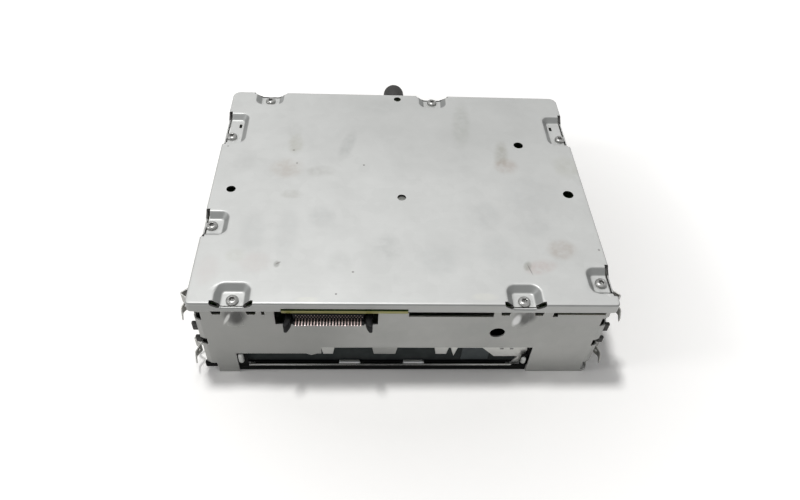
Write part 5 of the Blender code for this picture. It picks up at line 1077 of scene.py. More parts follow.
@dataclass
class PressedCover:
    """The cover: a sheet pressed with eight pockets, bent down all round, with holes and slits."""

    corner: float = 4.0 * MM
    front_corner: float = 1.9 * MM
    bend: float = 0.9 * MM
    flange_drop: float = 5.0 * MM
    raised_drop: float = 3.1 * MM
    raised_span: Point2 = (-0.051097, 0.001038)
    ring: float = 13.5 * MM
    ring_rows: int = 38
    fine: float = 0.36 * MM
    fine_run: float = 1.6
    coarse: float = 5.0 * MM
    flange_shares: Tuple[float, ...] = (0.0, 0.4, 0.75)
    bend_turns: Tuple[float, ...] = (0, 22.5, 45, 67.5)
    corner_steps: int = 9
    slit_run: float = 1.0 * MM
    lens_run: float = 4.2 * MM
    lens_span: Point2 = (-0.4 * MM, 1.9 * MM)
    lens_round: float = 0.12
    lens_shares: Tuple[Point2, ...] = (
        (0.04, 0.96), (0.27, 0.96), (0.84, 0.48), (1, 0.2), (1, -0.3), (0.04, -0.3),
    )
    slot_half: Point2 = (1.5 * MM, 0.68 * MM)
    slot_inset: float = 6.8 * MM
    screw_hole: float = 1.5 * MM
    tool_low: float = 9 * MM
    tool_high: float = 2 * MM
    nick: float = 0.02 * MM
    holes: Tuple[Point3, ...] = (
        (-0.079744, -0.005494, 0.00215),
        (0.061588, 0.030619, 0.00245),
        (0.080278, -0.006153, 0.00255),
        (0.000178, 0.068855, 0.00195),
        (0.000089, -0.009816, 0.00205),
    )

    def side_places(self, edge: Edge) -> Array:
        """Lays places along one side, corner to corner: coarse steps, and fine ones over each pocket.

        Args:
            edge: the side.

        Returns:
            The places, in order.
        """
        start = (self.corner if edge is Edge.BACK else self.front_corner) - edge.half_length
        end = edge.half_length - (self.front_corner if edge is Edge.FRONT else self.corner)
        places = [np.linspace(start, end, int((end - start) / self.coarse) + 1)]
        for pocket in POCKETS:
            if pocket.edge is edge:
                first, last = pocket.span
                run = self.fine_run * pocket.flare
                places.append(np.arange(first - run, last + run, self.fine))
        if edge is Edge.FRONT:
            places.append(np.array([end + way * self.nick for end in self.raised_span for way in (-1, 1)]))
        return np.unique(np.concatenate(places).clip(start, end).round(7))

    def perimeter(self) -> Tuple[Array, Array, Array, Array]:
        """Goes once round the outline, side by corner.

        Returns:
            The outline's points, the unit vectors inwards, where each point's line ends on the inner
            ring, and how far the flange hangs down there.
        """
        outline, inwards, ends, drops = [], [], [], []
        half = np.array([UNIT.width / 2, UNIT.depth / 2])
        for quarter, edge in enumerate(Edge):
            places = self.side_places(edge)
            if edge in (Edge.BACK, Edge.LEFT):
                places = places[::-1]
            limit = edge.half_length - self.ring
            outline.append(np.stack(edge.point(places, 0 * places), axis=1))
            inwards.append(np.tile(-np.array(edge.value, float), (len(places), 1)))
            ends.append(np.stack(edge.point(places.clip(-limit, limit), self.ring + 0 * places), axis=1))
            raised = (places > self.raised_span[0]) & (places < self.raised_span[1]) & (edge is Edge.FRONT)
            drops.append(np.where(raised, self.raised_drop, self.flange_drop))
            turn = (np.arange(1, self.corner_steps) / self.corner_steps + quarter - 1) * np.pi / 2
            ray = np.stack([np.cos(turn), np.sin(turn)], axis=1)
            sign = np.sign(ray.mean(axis=0))
            corner = self.corner if edge in (Edge.RIGHT, Edge.BACK) else self.front_corner
            outline.append((half - corner) * sign + corner * ray)
            inwards.append(-ray)
            ends.append(np.tile((half - self.ring) * sign, (len(turn), 1)))
            drops.append(np.full(len(turn), self.flange_drop))
        return tuple(np.concatenate(part) for part in (outline, inwards, ends, drops))

    def sunk(self, x: Array, y: Array) -> Array:
        """The deepest of the eight pockets' depths at given places."""
        return np.max([pocket.sunk(x, y) for pocket in POCKETS], axis=0)

    def sheet(self) -> Shape:
        """Works out the outer face as rows round the outline.

        The first rows climb the flange. The next turn the bend: step inwards = bend x (1 - cos a),
        drop = bend x (1 - sin a). The rest go straight from the bend to the inner ring. Every point
        above the flange is lowered by the pockets' depth, and the flange's rows share that out.

        Returns:
            The outer face, closed by one flat face inside the inner ring.
        """
        outline, inwards, ends, drops = self.perimeter()
        edge_depth = self.sunk(outline[:, 0], outline[:, 1])
        rows = []
        low = UNIT.height - drops
        high = UNIT.height - self.bend - edge_depth
        for share in self.flange_shares:
            rows.append(np.column_stack([outline, low + (high - low) * share]))
        for angle in np.radians(self.bend_turns):
            flat = outline + inwards * self.bend * (1 - math.cos(angle))
            drop = self.bend * (1 - math.sin(angle))
            rows.append(np.column_stack([flat, UNIT.height - drop - self.sunk(flat[:, 0], flat[:, 1])]))
        start = outline + inwards * self.bend
        for share in np.linspace(0, 1, self.ring_rows):
            flat = start + (ends - start) * share
            rows.append(np.column_stack([flat, UNIT.height - self.sunk(flat[:, 0], flat[:, 1])]))
        shape = Shape()
        shape.surface(np.array(rows))
        shape.faces.append((np.arange(len(outline)) + (len(rows) - 1) * len(outline)).tolist())
        return shape

    def level_prism(self, shape: Shape, edge: Edge, along: Point2, inward: Point2) -> None:
        """Adds an upright tool through the sheet.

        Args:
            shape: the shape that gets it.
            edge: the side of the cover.
            along: its span along that side.
            inward: its span inwards from the side.
        """
        a = np.array([along[0], along[1], along[1], along[0]])
        b = np.array([inward[0], inward[0], inward[1], inward[1]])
        x, y = edge.point(a, b)
        levels = [UNIT.height - self.tool_low, UNIT.height + self.tool_high]
        shape.surface(np.array([np.column_stack([x, y, np.full(4, z)]) for z in levels]), caps=True)

    def tools(self) -> List[Shape]:
        """Makes what is cut out of the cover.

        Returns:
            The holes, slots and slits as one shape, and the gaps beside the pockets as another.
        """
        holes, gaps = Shape(), Shape()
        bottom, tall = UNIT.height - self.tool_low, self.tool_low + self.tool_high
        seats = [(*pocket.edge.point(pocket.along, pocket.inset), self.screw_hole) for pocket in POCKETS]
        for x, y, radius in (*self.holes, *seats):
            profile = np.array([(radius, 0), (radius, tall)])
            holes.surface(turned(profile, (x, y, bottom), (0, 0, 1), 56), caps=True)
        for pocket in POCKETS:
            first, last = pocket.span
            run = pocket.flare + self.slit_run
            slit = (UNIT.sheet, UNIT.sheet + pocket.slit)
            self.level_prism(holes, pocket.edge, (first - run, last + run), slit)
            if pocket.longer:
                middle = pocket.along + pocket.longer
                span = (middle - self.slot_half[0], middle + self.slot_half[0])
                depth = (self.slot_inset - self.slot_half[1], self.slot_inset + self.slot_half[1])
                self.level_prism(holes, pocket.edge, span, depth)
            for end, way in ((first, -1), (last, 1)):
                shares = rounded(np.array(self.lens_shares, float), self.lens_round, closed=True, steps=4)
                along = end + shares[:, 0] * way * self.lens_run
                z = UNIT.height - shares[:, 1] * pocket.depth
                rings = []
                for inward in self.lens_span:
                    x, y = pocket.edge.point(along, np.full(len(along), inward))
                    rings.append(np.column_stack([x, y, z]))
                gaps.surface(np.array(rings), caps=True)
        return [holes, gaps]

    def build(self) -> None:
        """Makes the sheet, gives it its thickness inwards and cuts it."""
        cover = self.sheet().build("lid_pressed_cover", COVER_STEEL)
        if sum(face.normal.z * face.area for face in cover.data.polygons) < 0:
            cover.data.flip_normals()
        wall = cover.modifiers.new("sheet", "SOLIDIFY")
        wall.thickness, wall.offset, wall.use_even_offset = UNIT.sheet, -1, True
        # the cut faces take nearly black steel, painted shade in the slits, holes and gaps
        carve(cover, self.tools(), CUT_STEEL_AND_SHADE, 40)
        dress(cover, "housing", ["lid"])


# Screws


@dataclass
class PanScrews:
    """Pan head screws with a six-lobed recess: eight in the cover and two in the heat sink."""

    head: float = 2.6 * MM
    height: float = 1.7 * MM
    recess: float = 1.15 * MM
    recess_depth: float = 1.35 * MM
    lobes: int = 6
    lobe_share: float = 0.13
    shank: float = 1.15 * MM
    length: float = 3.6 * MM
    pitch: float = 0.8 * MM
    thread: float = 0.16 * MM
    thread_rows: int = 34
    sides: int = 60

    def surface(self, seat: Point3, axis: Point3, length: float) -> Array:
        """Turns the screw's profile, with lobes in the recess and ridges on the shank.

        In the recess the radius is r x (1 + share x cos(6 a)), and on the shank it is the shank's
        radius less a ridge that goes as the sine of the height over the pitch.

        Args:
            seat: the point under the middle of the head.
            axis: the way from the seat to the head.
            length: how far the shank goes.

        Returns:
            Rows by steps by three coordinates.
        """
        top, recess = self.height, self.recess
        head = [
            (0, top - self.recess_depth + 0.12 * MM, 0),
            (0.45 * recess, top - self.recess_depth, 0.2),
            (0.80 * recess, top - self.recess_depth + 0.05 * MM, 1),
            (0.94 * recess, top - 0.16 * MM, 1),
            (1.02 * recess, top - 0.03 * MM, 0.8),
            (1.16 * recess, top, 0.2),
            (1.5 * recess, top - 0.06 * MM, 0),
            (0.80 * self.head, top - 0.25 * MM, 0),
            (0.91 * self.head, top - 0.45 * MM, 0),
            (0.975 * self.head, top - 0.72 * MM, 0),
            (self.head, top - 1.02 * MM, 0),
            (0.985 * self.head, 0.2 * MM, 0),
            (0.95 * self.head, 0.06 * MM, 0),
            (1.15 * self.shank, 0.06 * MM, 0),
        ]
        fall = np.linspace(0, -length + 0.6 * MM, self.thread_rows)
        ridge = self.shank - self.thread * (0.5 + 0.5 * np.sin(2 * np.pi * fall / self.pitch))
        shank = np.column_stack([ridge, fall, 0 * fall])
        tip = [(0.4 * self.shank, -length + 0.1 * MM, 0), (0, -length, 0)]
        rows = np.concatenate([head, shank, tip])
        angle = np.arange(self.sides) * 2 * np.pi / self.sides
        ripple = 1 + self.lobe_share * rows[:, 2:] * np.cos(self.lobes * angle)[None, :]
        return turned(rows[:, :2], seat, axis, self.sides, ripple)

    def build(self) -> None:
        """Puts a screw in every pocket and on every heat sink hole."""
        screws = []
        for pocket in POCKETS:
            x, y = pocket.edge.point(pocket.along, pocket.inset)
            seat = (x, y, UNIT.height - pocket.depth)
            screws.append((f"lid_screw_{pocket.name}", seat, (0, 0, 1), self.length))
        for side in ("left", "right"):
            node = f"heat_sink_screw_{side}"
            low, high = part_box(node)
            seat = ((low.x + high.x) / 2, high.y - self.height, (low.z + high.z) / 2)
            screws.append((node, seat, (0, 1, 0), high.y - low.y - self.height))
        for node, seat, axis, length in screws:
            screw = Shape().surface(self.surface(seat, axis, length))
            dress(screw.build(f"{node}_pan_head", ZINC_PLATING, 50), "housing", [node])


# Side spring clips


@dataclass
class SpringClips:
    """Four bent strips at the sides, near the front, that taper to their tips."""

    thickness: float = 0.5 * MM
    height: float = 5.5 * MM
    tip_height: float = 1.8 * MM
    length: float = 21.0 * MM
    reach: float = 5.4 * MM
    root: Point2 = (0.08845, -0.05105)
    tops: Tuple[Tuple[str, float], ...] = (("upper", 0.0446), ("lower", 0.0121))
    shares: Tuple[Point2, ...] = ((0, 0), (0.31, 0.05), (0.53, 1), (0.66, 0.33), (0.83, 0.76), (1, 0.6))
    taper_from: float = 0.66
    bend_run: float = 0.9 * MM
    bevel: float = 0.08 * MM
    hole: float = 0.55 * MM
    hole_share: Point2 = (0.74, 0.55)
    hole_start: float = 0.3 * MM
    hole_deep: float = 8 * MM

    def strip(self, side: int, top: float) -> Array:
        """Carries the strip's section along its bent path.

        The section is a rectangle with cut corners, square to the path, whose upper edge falls in a
        straight line from the taper's start to the tip.

        Args:
            side: -1 at the left and 1 at the right.
            top: the height of its upper edge at the root.

        Returns:
            Sections by corners by three coordinates.
        """
        shares = np.array(self.shares)
        out, forth = shares[:, 1] * self.reach, shares[:, 0] * self.length
        path = rounded(np.column_stack([self.root[0] + out, self.root[1] - forth]), self.bend_run)
        forward = np.gradient(path, axis=0)
        forward /= np.linalg.norm(forward, axis=1, keepdims=True)
        outward = np.column_stack([-forward[:, 1], forward[:, 0]])
        run = (self.root[1] - path[:, 1]) / self.length
        fall = ((run - self.taper_from) / (1 - self.taper_from)).clip(0, 1)
        low = top - self.height
        high = top - fall * (self.height - self.tip_height)
        t, b = self.thickness / 2, self.bevel
        offset = np.array([-t, -t, b - t, t - b, t, t, t - b, b - t])
        from_low = np.array([b, -b, 0, 0, -b, b, 0, 0])
        is_high = np.array([0, 1, 1, 1, 1, 0, 0, 0])
        flat = path[:, None] + outward[:, None] * offset[None, :, None]
        z = low + (high[:, None] - low) * is_high + from_low
        return np.concatenate([flat * np.array([side, 1]), z[:, :, None]], axis=2)

    def build(self) -> None:
        """Makes the four clips, each on the body that flexes."""
        for level, top in self.tops:
            for name, side in (("left", -1), ("right", 1)):
                clip = Shape().surface(self.strip(side, top), caps=True)
                piece = clip.build(f"clip_{level}_{name}_bent_strip", SPRING_STRIP)
                hole_y = self.root[1] - self.hole_share[0] * self.length
                profile = np.array([(self.hole, 0), (self.hole, self.hole_deep)])
                hole_z = top - self.hole_share[1] * self.height
                start = (side * (self.root[0] + self.hole_start), hole_y, hole_z)
                tool = Shape().surface(turned(profile, start, (side, 0, 0), 24), caps=True)
                carve(piece, [tool], SPRING_STRIP)
                dress(piece, f"{level}_{name}_clip", [f"clip_{level}_{name}"])


# Front header and its latches


@dataclass
class FrontHeader:
    """The black header in the front notch, its pins, contact tails and two curled latches."""

    middle: float = -0.031862
    half: float = 0.014835
    face: float = -0.07285
    bottom: float = 0.0376
    top: float = 0.0442
    depth: float = 7.5 * MM
    lip: Point2 = (0.8 * MM, 3.1 * MM)
    pins: int = 22
    pitch: float = 1.27 * MM
    pin: float = 0.5 * MM
    pin_length: float = 3.8 * MM
    pin_point: float = 0.45
    pin_z: float = 0.041335
    ear: Point2 = (3.6 * MM, 0.8 * MM)
    tail: float = 0.34 * MM
    tail_length: float = 0.15 * MM
    tail_point: float = 0.8
    tip_share: float = 0.12
    tail_rows: Tuple[float, float] = (0.04355, 0.04255)
    latch_y: float = -0.06925
    latch_x: float = 0.016635
    latch_z: Point2 = (0.0387, 0.0431)
    latch_length: float = 9.0 * MM
    latch_curl: float = 1.6 * MM
    latch_root: Point2 = (1.0 * MM, 1.5 * MM)
    latch_pin: float = 0.7 * MM
    latch_edge: float = 0.18 * MM
    outer: Tuple[Point2, ...] = (
        (0.12, 0.78), (0.3, 0.78), (0.5, 0.7), (0.72, 0.85), (0.88, 1.05), (0.98, 1),
    )
    inner: Tuple[Point2, ...] = ((1, 0.25), (0.84, -0.3), (0.66, -0.72), (0.3, -0.78), (0.12, -0.78))

    def housing(self) -> None:
        """The body with its lower lip, a pair of ears at each end and the latches' pins."""
        left, right = self.middle - self.half, self.middle + self.half
        back = self.face + self.depth
        shape = Shape()
        shape.block((left, self.face, self.bottom), (right, back, self.top), 0.25 * MM)
        proud, lip_top = self.face - self.lip[0], self.bottom + self.lip[1]
        shape.block((left, proud, self.bottom), (right, self.face + 1 * MM, lip_top), 0.2 * MM)
        for side in (-1, 1):
            ends = (self.half - 0.5 * MM, self.half + self.ear[0])
            near, far = sorted(self.middle + side * end for end in ends)
            front = self.latch_y - self.latch_root[1]
            shape.block((near, front, self.bottom), (far, back, self.bottom + self.ear[1]))
            shape.block((near, front, self.top - self.ear[1]), (far, back, self.top))
            height = self.top - self.bottom - self.ear[1]
            profile = np.array([(self.latch_pin, 0), (self.latch_pin, height)])
            start = (self.middle + side * self.latch_x, self.latch_y, self.bottom + self.ear[1] / 2)
            shape.surface(turned(profile, start, (0, 0, 1), 24), caps=True)
        piece = shape.build("front_header_housing", BLACK_POLYESTER)
        dress(piece, "housing", ["front_header"])

    def bars(self, centres: Array, half: float, start: float, end: float, point: float) -> Shape:
        """Makes square bars along y, with a tip that narrows.

        Args:
            centres: the x and z of each bar.
            half: half of its width.
            start: the y of its blunt end.
            end: the y of its tip.
            point: the tip's share of the width.

        Returns:
            All the bars as one shape.
        """
        shape = Shape()
        ring = half * np.array([(-1, -1), (1, -1), (1, 1), (-1, 1)])
        step = (end - start) * self.tip_share
        rows = ((start, 1.0), (end - step, 1.0), (end - step / 3, 0.8), (end, point))
        for x, z in centres:
            centre = np.array([x, z])
            levels = [np.insert(centre + ring * share, 1, y, axis=1) for y, share in rows]
            shape.surface(np.array(levels), caps=True)
        return shape

    def contacts(self) -> None:
        """The long pins, and two staggered rows of short tails above them."""
        x = self.middle + (np.arange(self.pins) - (self.pins - 1) / 2) * self.pitch
        pins = np.column_stack([x, np.full(self.pins, self.pin_z)])
        end = self.face - self.pin_length
        long = self.bars(pins, self.pin / 2, self.face + 1 * MM, end, self.pin_point)
        dress(long.build("front_header_pins", TINNED_BRASS, 25), "housing")
        steps = enumerate(self.tail_rows)
        tails = [np.column_stack([x + i * self.pitch / 2, np.full(self.pins, z)]) for i, z in steps]
        centres = np.concatenate(tails)
        centres = centres[centres[:, 0] < self.middle + self.half - self.tail]
        end = self.face - self.tail_length
        short = self.bars(centres, self.tail / 2, self.face + 0.4 * MM, end, self.tail_point)
        dress(short.build("front_header_tails", TINNED_BRASS, 25), "housing")

    def latches(self) -> None:
        """Two arms, each a rounded outline raised between the ears, on a bored root."""
        for name, side in (("left", -1), ("right", 1)):
            x, y = self.middle + side * self.latch_x, self.latch_y
            shares = np.array(self.outer + self.inner)
            out, forth = side * shares[:, 1] * self.latch_curl, shares[:, 0] * self.latch_length
            flat = rounded(np.column_stack([x + out, y - forth]), 0.5 * MM, closed=True)
            low, high = self.latch_z
            levels = [np.insert(flat, 2, z, axis=1) for z in (low, high)]
            arm = Shape().surface(np.array(levels), caps=True)
            bore, outer = self.latch_root
            height = high - low
            root = np.array([(bore, 0), (outer, 0), (outer, height), (bore, height), (bore, 0)])
            arm.surface(turned(root, (x, y, low), (0, 0, 1), 40))
            piece = arm.build(f"latch_{name}_curled_arm", BLACK_POLYESTER)
            soften = piece.modifiers.new("edges", "BEVEL")
            soften.width, soften.segments, soften.limit_method = self.latch_edge, 2, "ANGLE"
            settle(piece)
            dress(piece, f"{name}_latch", [f"latch_{name}"])

    def build(self) -> None:
        """Makes the housing, its contacts and both latches."""
        self.housing()
        self.contacts()
        self.latches()


# Small parts in the disc slot


@dataclass
class SlotDetails:
    """What shows in the disc slot and, as a spacer, under the cover's middle hole.

    In the slot these are a matt black block of painted shadow under the base's raised front edge and its
    bright lip above, paler painted-lit ends of its tabs, a felt curtain and a guide face, cheeks and bushes
    at the slot's ends, and two hooks on the plate.
    """

    feet: Point2 = (-0.0744, 0.0583)
    # the y and z span of the black block of painted shadow under the base's raised front edge
    shadow_y: Point2 = (-0.0713, -0.0706)
    shadow_z: Point2 = (0.15 * MM, 3.9 * MM)
    lip_x: Point2 = (-0.0690, 0.0513)
    lip_high: float = 0.32 * MM
    lip_proud: float = 0.2 * MM
    tabs: Point2 = (-0.023493, 0.005907)
    tab: Point3 = (4.7 * MM, 4.2 * MM, 4.95 * MM)
    tab_run: Point2 = (-0.1 * MM, 0.8 * MM)
    curtain_y: Point2 = (-0.0686, -0.0681)
    curtain_top: float = 16.0 * MM
    panel: Tuple[Point3, Point3] = ((0.0276, -0.0692, 0.0056), (0.0402, -0.0685, 0.0150))
    cheeks: Tuple[Tuple[Point3, Point3], ...] = (
        ((-0.0746, -0.0712, 0.0039), (-0.0690, -0.0706, 0.0140)),
        ((0.0549, -0.0712, 0.0039), (0.0585, -0.0706, 0.0124)),
        ((0.0575, -0.0712, 0.0039), (0.0588, -0.0706, 0.0176)),
    )
    # the left foot's step, filled with painted shadow
    step: Tuple[Point3, Point3] = ((-0.0880, -0.0721, 0.0040), (-0.0829, -0.0704, 0.0072))
    bushes: Tuple[Tuple[float, float, float, float], ...] = (
        (-0.0719, 0.0066, 0.0133, 1.25 * MM),
        (0.0562, 0.0060, 0.0106, 1.15 * MM),
    )
    hooks: Tuple[Point2, ...] = ((0.0454, 0.0149), (0.0499, 0.0149))
    hook: Point3 = (0.8 * MM, 0.25 * MM, 0.35 * MM)
    hook_bevel: float = 0.1 * MM
    plate_y: Point2 = (-0.0697, -0.0696)
    board_top: float = 46.15 * MM
    spacer_high: float = 4.2 * MM

    def spacer(self) -> None:
        """The grey spacer on the board that shows through the cover's middle hole."""
        x, y, radius = PressedCover().holes[4]
        profile = np.array([(0, 0), (radius, 0), (radius, self.spacer_high), (0, self.spacer_high)])
        post = Shape().surface(turned(profile, (x, y, self.board_top), (0, 0, 1), 32))
        dress(post.build("board_spacer", SPACER_STEEL, 40), "housing")

    def shadow_and_lip(self) -> None:
        """Paints the shadow under the base's raised front edge and under the left foot's step as a matt
        black block, and lays the base's bright edge above it.
        """
        (left, right), (front, back), (low, high) = self.feet, self.shadow_y, self.shadow_z
        # a matt black block paints the shadow under the edge and under the foot's step
        dark = Shape().block((left, front, low), (right, back, high)).block(*self.step)
        dress(dark.build("base_cover_front_skirt", MATT_BLACK_AND_SHADOW), "housing")
        left, right = self.lip_x
        lip = Shape().block((left, front - self.lip_proud, high), (right, back, high + self.lip_high))
        dress(lip.build("base_cover_front_lip", BRIGHT_SHEET), "housing")

    def tab_faces(self) -> None:
        """Paler faces over the ends of the base's two guide tabs: painted light, as the tabs sit in the
        slot's shade.
        """
        half, low, high = self.tab
        front, back = (self.shadow_y[1] + step for step in self.tab_run)
        faces = Shape()
        for x in self.tabs:
            faces.block((x - half, front, low), (x + half, back, high))
        dress(faces.build("guide_tab_faces", LIT_TAB_SHEET), "housing")

    def curtain(self) -> None:
        """The felt behind the plate's teeth, and the rubbed guide face in front of it."""
        (left, right), (front, back) = self.feet, self.curtain_y
        felt = Shape().block((left, front, self.shadow_z[1]), (right, back, self.curtain_top))
        dress(felt.build("slot_felt_curtain", FELT), "housing")
        guide = Shape().block(*self.panel)
        dress(guide.build("slot_guide_face", RUBBED_POLYESTER), "housing")

    def ends(self) -> None:
        """Black cheeks at the slot's ends, each with a pale round-ended bush, and the plate's two hooks."""
        cheeks = Shape()
        for low, high in self.cheeks:
            cheeks.block(low, high)
        dress(cheeks.build("slot_end_cheeks", MATT_BLACK_AND_SHADOW), "housing")
        pale = Shape()
        turn = np.linspace(0, np.pi / 2, 6)
        for x, low, high, radius in self.bushes:
            end = radius * np.column_stack([np.sin(turn), -np.cos(turn)])
            straight = high - low - 2 * radius
            profile = np.concatenate([end + (0, radius), end[::-1] * (1, -1) + (0, radius + straight)])
            pale.surface(turned(profile, (x, self.shadow_y[0], low), (0, 0, 1), 20))
        dress(pale.build("slot_end_bushes", CAST_ALUMINIUM), "housing")
        hooks = Shape()
        (half, proud, rise), (front, back) = self.hook, self.plate_y
        for x, z in self.hooks:
            low, high = (x - half, front - proud, z - rise), (x + half, back, z + rise)
            hooks.block(low, high, self.hook_bevel)
        dress(hooks.build("deck_plate_hooks", ZINC_PLATING), "housing")

    def build(self) -> None:
        """Makes the spacer, the painted shadow and its lip, the tabs' painted-lit ends, the curtain and the
        end pieces.
        """
        self.spacer()
        self.shadow_and_lip()
        self.tab_faces()
        self.curtain()
        self.ends()


# Embossed ribs under the front screws


@dataclass
class EmbossedRibs:
    """Two soft ribs pressed outwards in the front wall, wider and rounder at their lower ends."""

    top: float = 0.0464
    length: float = 13.0 * MM
    half_top: float = 2.3 * MM
    half_low: float = 4.5 * MM
    proud: float = 1.75 * MM
    sunk: float = 0.25 * MM
    off_wall: float = 0.02 * MM
    start: float = 0.6
    full: float = 0.45
    widening: float = 0.8
    fall: float = 1.5
    round: float = 1.6
    rows: int = 40
    columns: int = 36

    def surface(self, middle: float) -> Array:
        """Raises the rib off the wall: proud x a round section across x a rise and a fall down.

        Across, u goes from -1 to 1 over a width that grows downwards, and the section is a power of
        the cosine of a quarter turn times u. Down, with v from 0 to 1, the height grows in a straight
        line from the start's share to all of it at v = full, and then falls to nothing as a power of
        the cosine. The last columns close the ring behind the wall's face.

        Args:
            middle: the rib's x.

        Returns:
            Rows by columns by three coordinates.
        """
        v = np.linspace(0, 1, self.rows)[:, None]
        u = np.linspace(-1, 1, self.columns)[None, :]
        half = self.half_top + (self.half_low - self.half_top) * v**self.widening
        rise = self.start + (1 - self.start) * np.minimum(v / self.full, 1)
        fall = np.cos(np.pi / 2 * ((v - self.full) / (1 - self.full)).clip(0, 1)) ** self.fall
        height = self.proud * rise * fall * np.cos(np.pi / 2 * u) ** self.round
        x = middle + half * u
        y = -UNIT.wall_y + self.off_wall - height
        z = self.top - self.length * v + 0 * u
        front = np.stack([x, y, z], axis=2)
        back = front[:, ::-1].copy()
        back[:, :, 1] = -UNIT.wall_y + self.sunk
        return np.concatenate([front, back], axis=1)

    def build(self) -> None:
        """Lays a rib over each of the wall's pressed gussets."""
        for pocket in (pocket for pocket in POCKETS if pocket.edge is Edge.FRONT):
            rib = Shape().surface(self.surface(pocket.along), caps=True)
            name = pocket.name.replace("front", "chassis_pressed_rib")
            # the walls' sheet paints each rib's shadow and highlight
            dress(rib.build(name, SHADED_WALL_STEEL, 50), "housing")


# Side wall stops


@dataclass
class WallStops:
    """Two small stops on each side wall near the front, between the upper and the lower clip, nearly black
    as painted shade.
    """

    across: Point2 = (0.0868, 0.0893)
    along: Point2 = (-0.0713, -0.0697)
    levels: Tuple[Point2, ...] = ((0.0308, 0.0358), (0.0222, 0.0260))
    bevel: float = 0.35 * MM

    def build(self) -> None:
        """Puts the four stops on the walls as one piece."""
        stops = Shape()
        for side in (-1, 1):
            left, right = sorted(side * x for x in self.across)
            for low, high in self.levels:
                stops.block((left, self.along[0], low), (right, self.along[1], high), self.bevel)
        # nearly black steel: painted shade on the stops
        dress(stops.build("side_wall_stops", CUT_STEEL_AND_SHADE), "housing")


# Rear fittings


@dataclass
class LocatingStud:
    """The stud behind the unit: threads, a chamfered hexagon nut and a round rubber cap."""

    stud: float = 2.5 * MM
    head: Point2 = (4.2 * MM, 2.0 * MM)
    pitch: float = 0.8 * MM
    thread: float = 0.18 * MM
    thread_rows: int = 90
    nut: float = 4.8 * MM
    nut_sides: int = 72
    cap: float = 5.7 * MM
    cap_bore: float = 2.8 * MM
    cap_centre: float = 0.09015

    def threaded(self) -> None:
        """Turns the stud, whose radius swings with the sine of the height over the pitch."""
        low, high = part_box("rear_stud")
        x, z = (low.x + high.x) / 2, (low.z + high.z) / 2
        length = high.y - low.y
        rise = np.linspace(self.head[1], length - 0.5 * MM, self.thread_rows)
        thread = self.stud - self.thread * (0.5 + 0.5 * np.sin(2 * np.pi * rise / self.pitch))
        radius, thick = self.head
        head = [(0, 0), (radius - 0.2 * MM, 0), (radius, 0.2 * MM), (radius, thick)]
        end = [(0.8 * self.stud, length), (0, length)]
        rows = np.concatenate([head, np.column_stack([thread, rise]), end])
        shape = Shape().surface(turned(rows, (x, low.y, z), (0, 1, 0), 40))
        dress(shape.build("rear_stud_threaded", ZINC_PLATING, 60), "housing", ["rear_stud"])

    def hexagon(self) -> None:
        """A ring whose outer radius is the lesser of a hexagon's and a cone's: r / cos(a) in each sixth."""
        low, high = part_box("stud_nut")
        x, z = (low.x + high.x) / 2, (low.z + high.z) / 2
        thick = high.y - low.y
        sides = self.nut_sides
        angle = np.arange(sides) * 2 * np.pi / sides
        apothem = self.nut * math.cos(math.pi / 6)
        sixth = np.mod(angle + np.pi / 6, np.pi / 3) - np.pi / 6
        hexagon = apothem / np.cos(sixth)
        cone = np.array([0.93, 0.97, 1.1, 1.1, 0.97, 0.93]) * self.nut
        heights = np.array([0, 0.1, 0.28, 0.72, 0.9, 1]) * thick
        outer = np.minimum(hexagon[None, :], cone[:, None])
        bore = np.full((1, sides), self.stud + 0.05 * MM)
        radius = np.concatenate([bore, outer, bore, bore])
        rows = np.column_stack([np.ones(len(radius)), np.concatenate([[0], heights, [thick, 0]])])
        shape = Shape().surface(turned(rows, (x, low.y, z), (0, 1, 0), sides, radius))
        dress(shape.build("stud_nut_hexagon", ZINC_PLATING, 20), "housing", ["stud_nut"])

    def rubber_cap(self) -> None:
        """A cup with a half ball at its end and a bore for the stud, turned in one profile."""
        low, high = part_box("stud_cap")
        stud_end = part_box("rear_stud")[1].y + 0.3 * MM
        x, z = (low.x + high.x) / 2, (low.z + high.z) / 2
        start, straight = low.y, self.cap_centre - low.y
        turn = np.linspace(0, np.pi / 2, 16)
        rise = straight + (high.y - self.cap_centre) * np.sin(turn)
        ball = np.column_stack([self.cap * np.cos(turn), rise])
        cup = [
            (0, stud_end - start),
            (self.cap_bore, stud_end - start),
            (self.cap_bore, 0.3 * MM),
            (self.cap_bore + 0.3 * MM, 0),
            (self.cap - 0.6 * MM, 0),
            (self.cap - 0.15 * MM, 0.2 * MM),
            (self.cap, 0.7 * MM),
            (self.cap, 3.0 * MM),
            (self.cap - 0.25 * MM, 3.4 * MM),
            (self.cap - 0.25 * MM, 4.0 * MM),
            (self.cap, 4.4 * MM),
        ]
        rows = np.concatenate([cup, ball])
        shape = Shape().surface(turned(rows, (x, start, z), (0, 1, 0), 56))
        dress(shape.build("stud_cap_round", NITRILE, 50), "housing", ["stud_cap"])

    def build(self) -> None:
        """Makes the stud, its nut and its cap."""
        self.threaded()
        self.hexagon()
        self.rubber_cap()


# Carried-over solids


@dataclass
class SolidFinishes:
    """Gives every solid the finish of its slot."""

    def build(self) -> None:
        """Puts each node's finish in its object's material slots."""
        slots = {row["node"]: row["material_slot"] for row in frame["record"]["subparts"]}
        for node, obj in frame["nodes"].items():
            finish = SLOT_FINISHES[slots[node]]
            for slot in obj.material_slots:
                slot.link = "OBJECT"
                slot.material = finish.material()
            if not obj.hide_render:
                LOG.info("%s keeps its solid, in %s", node, finish.name)


# Studio


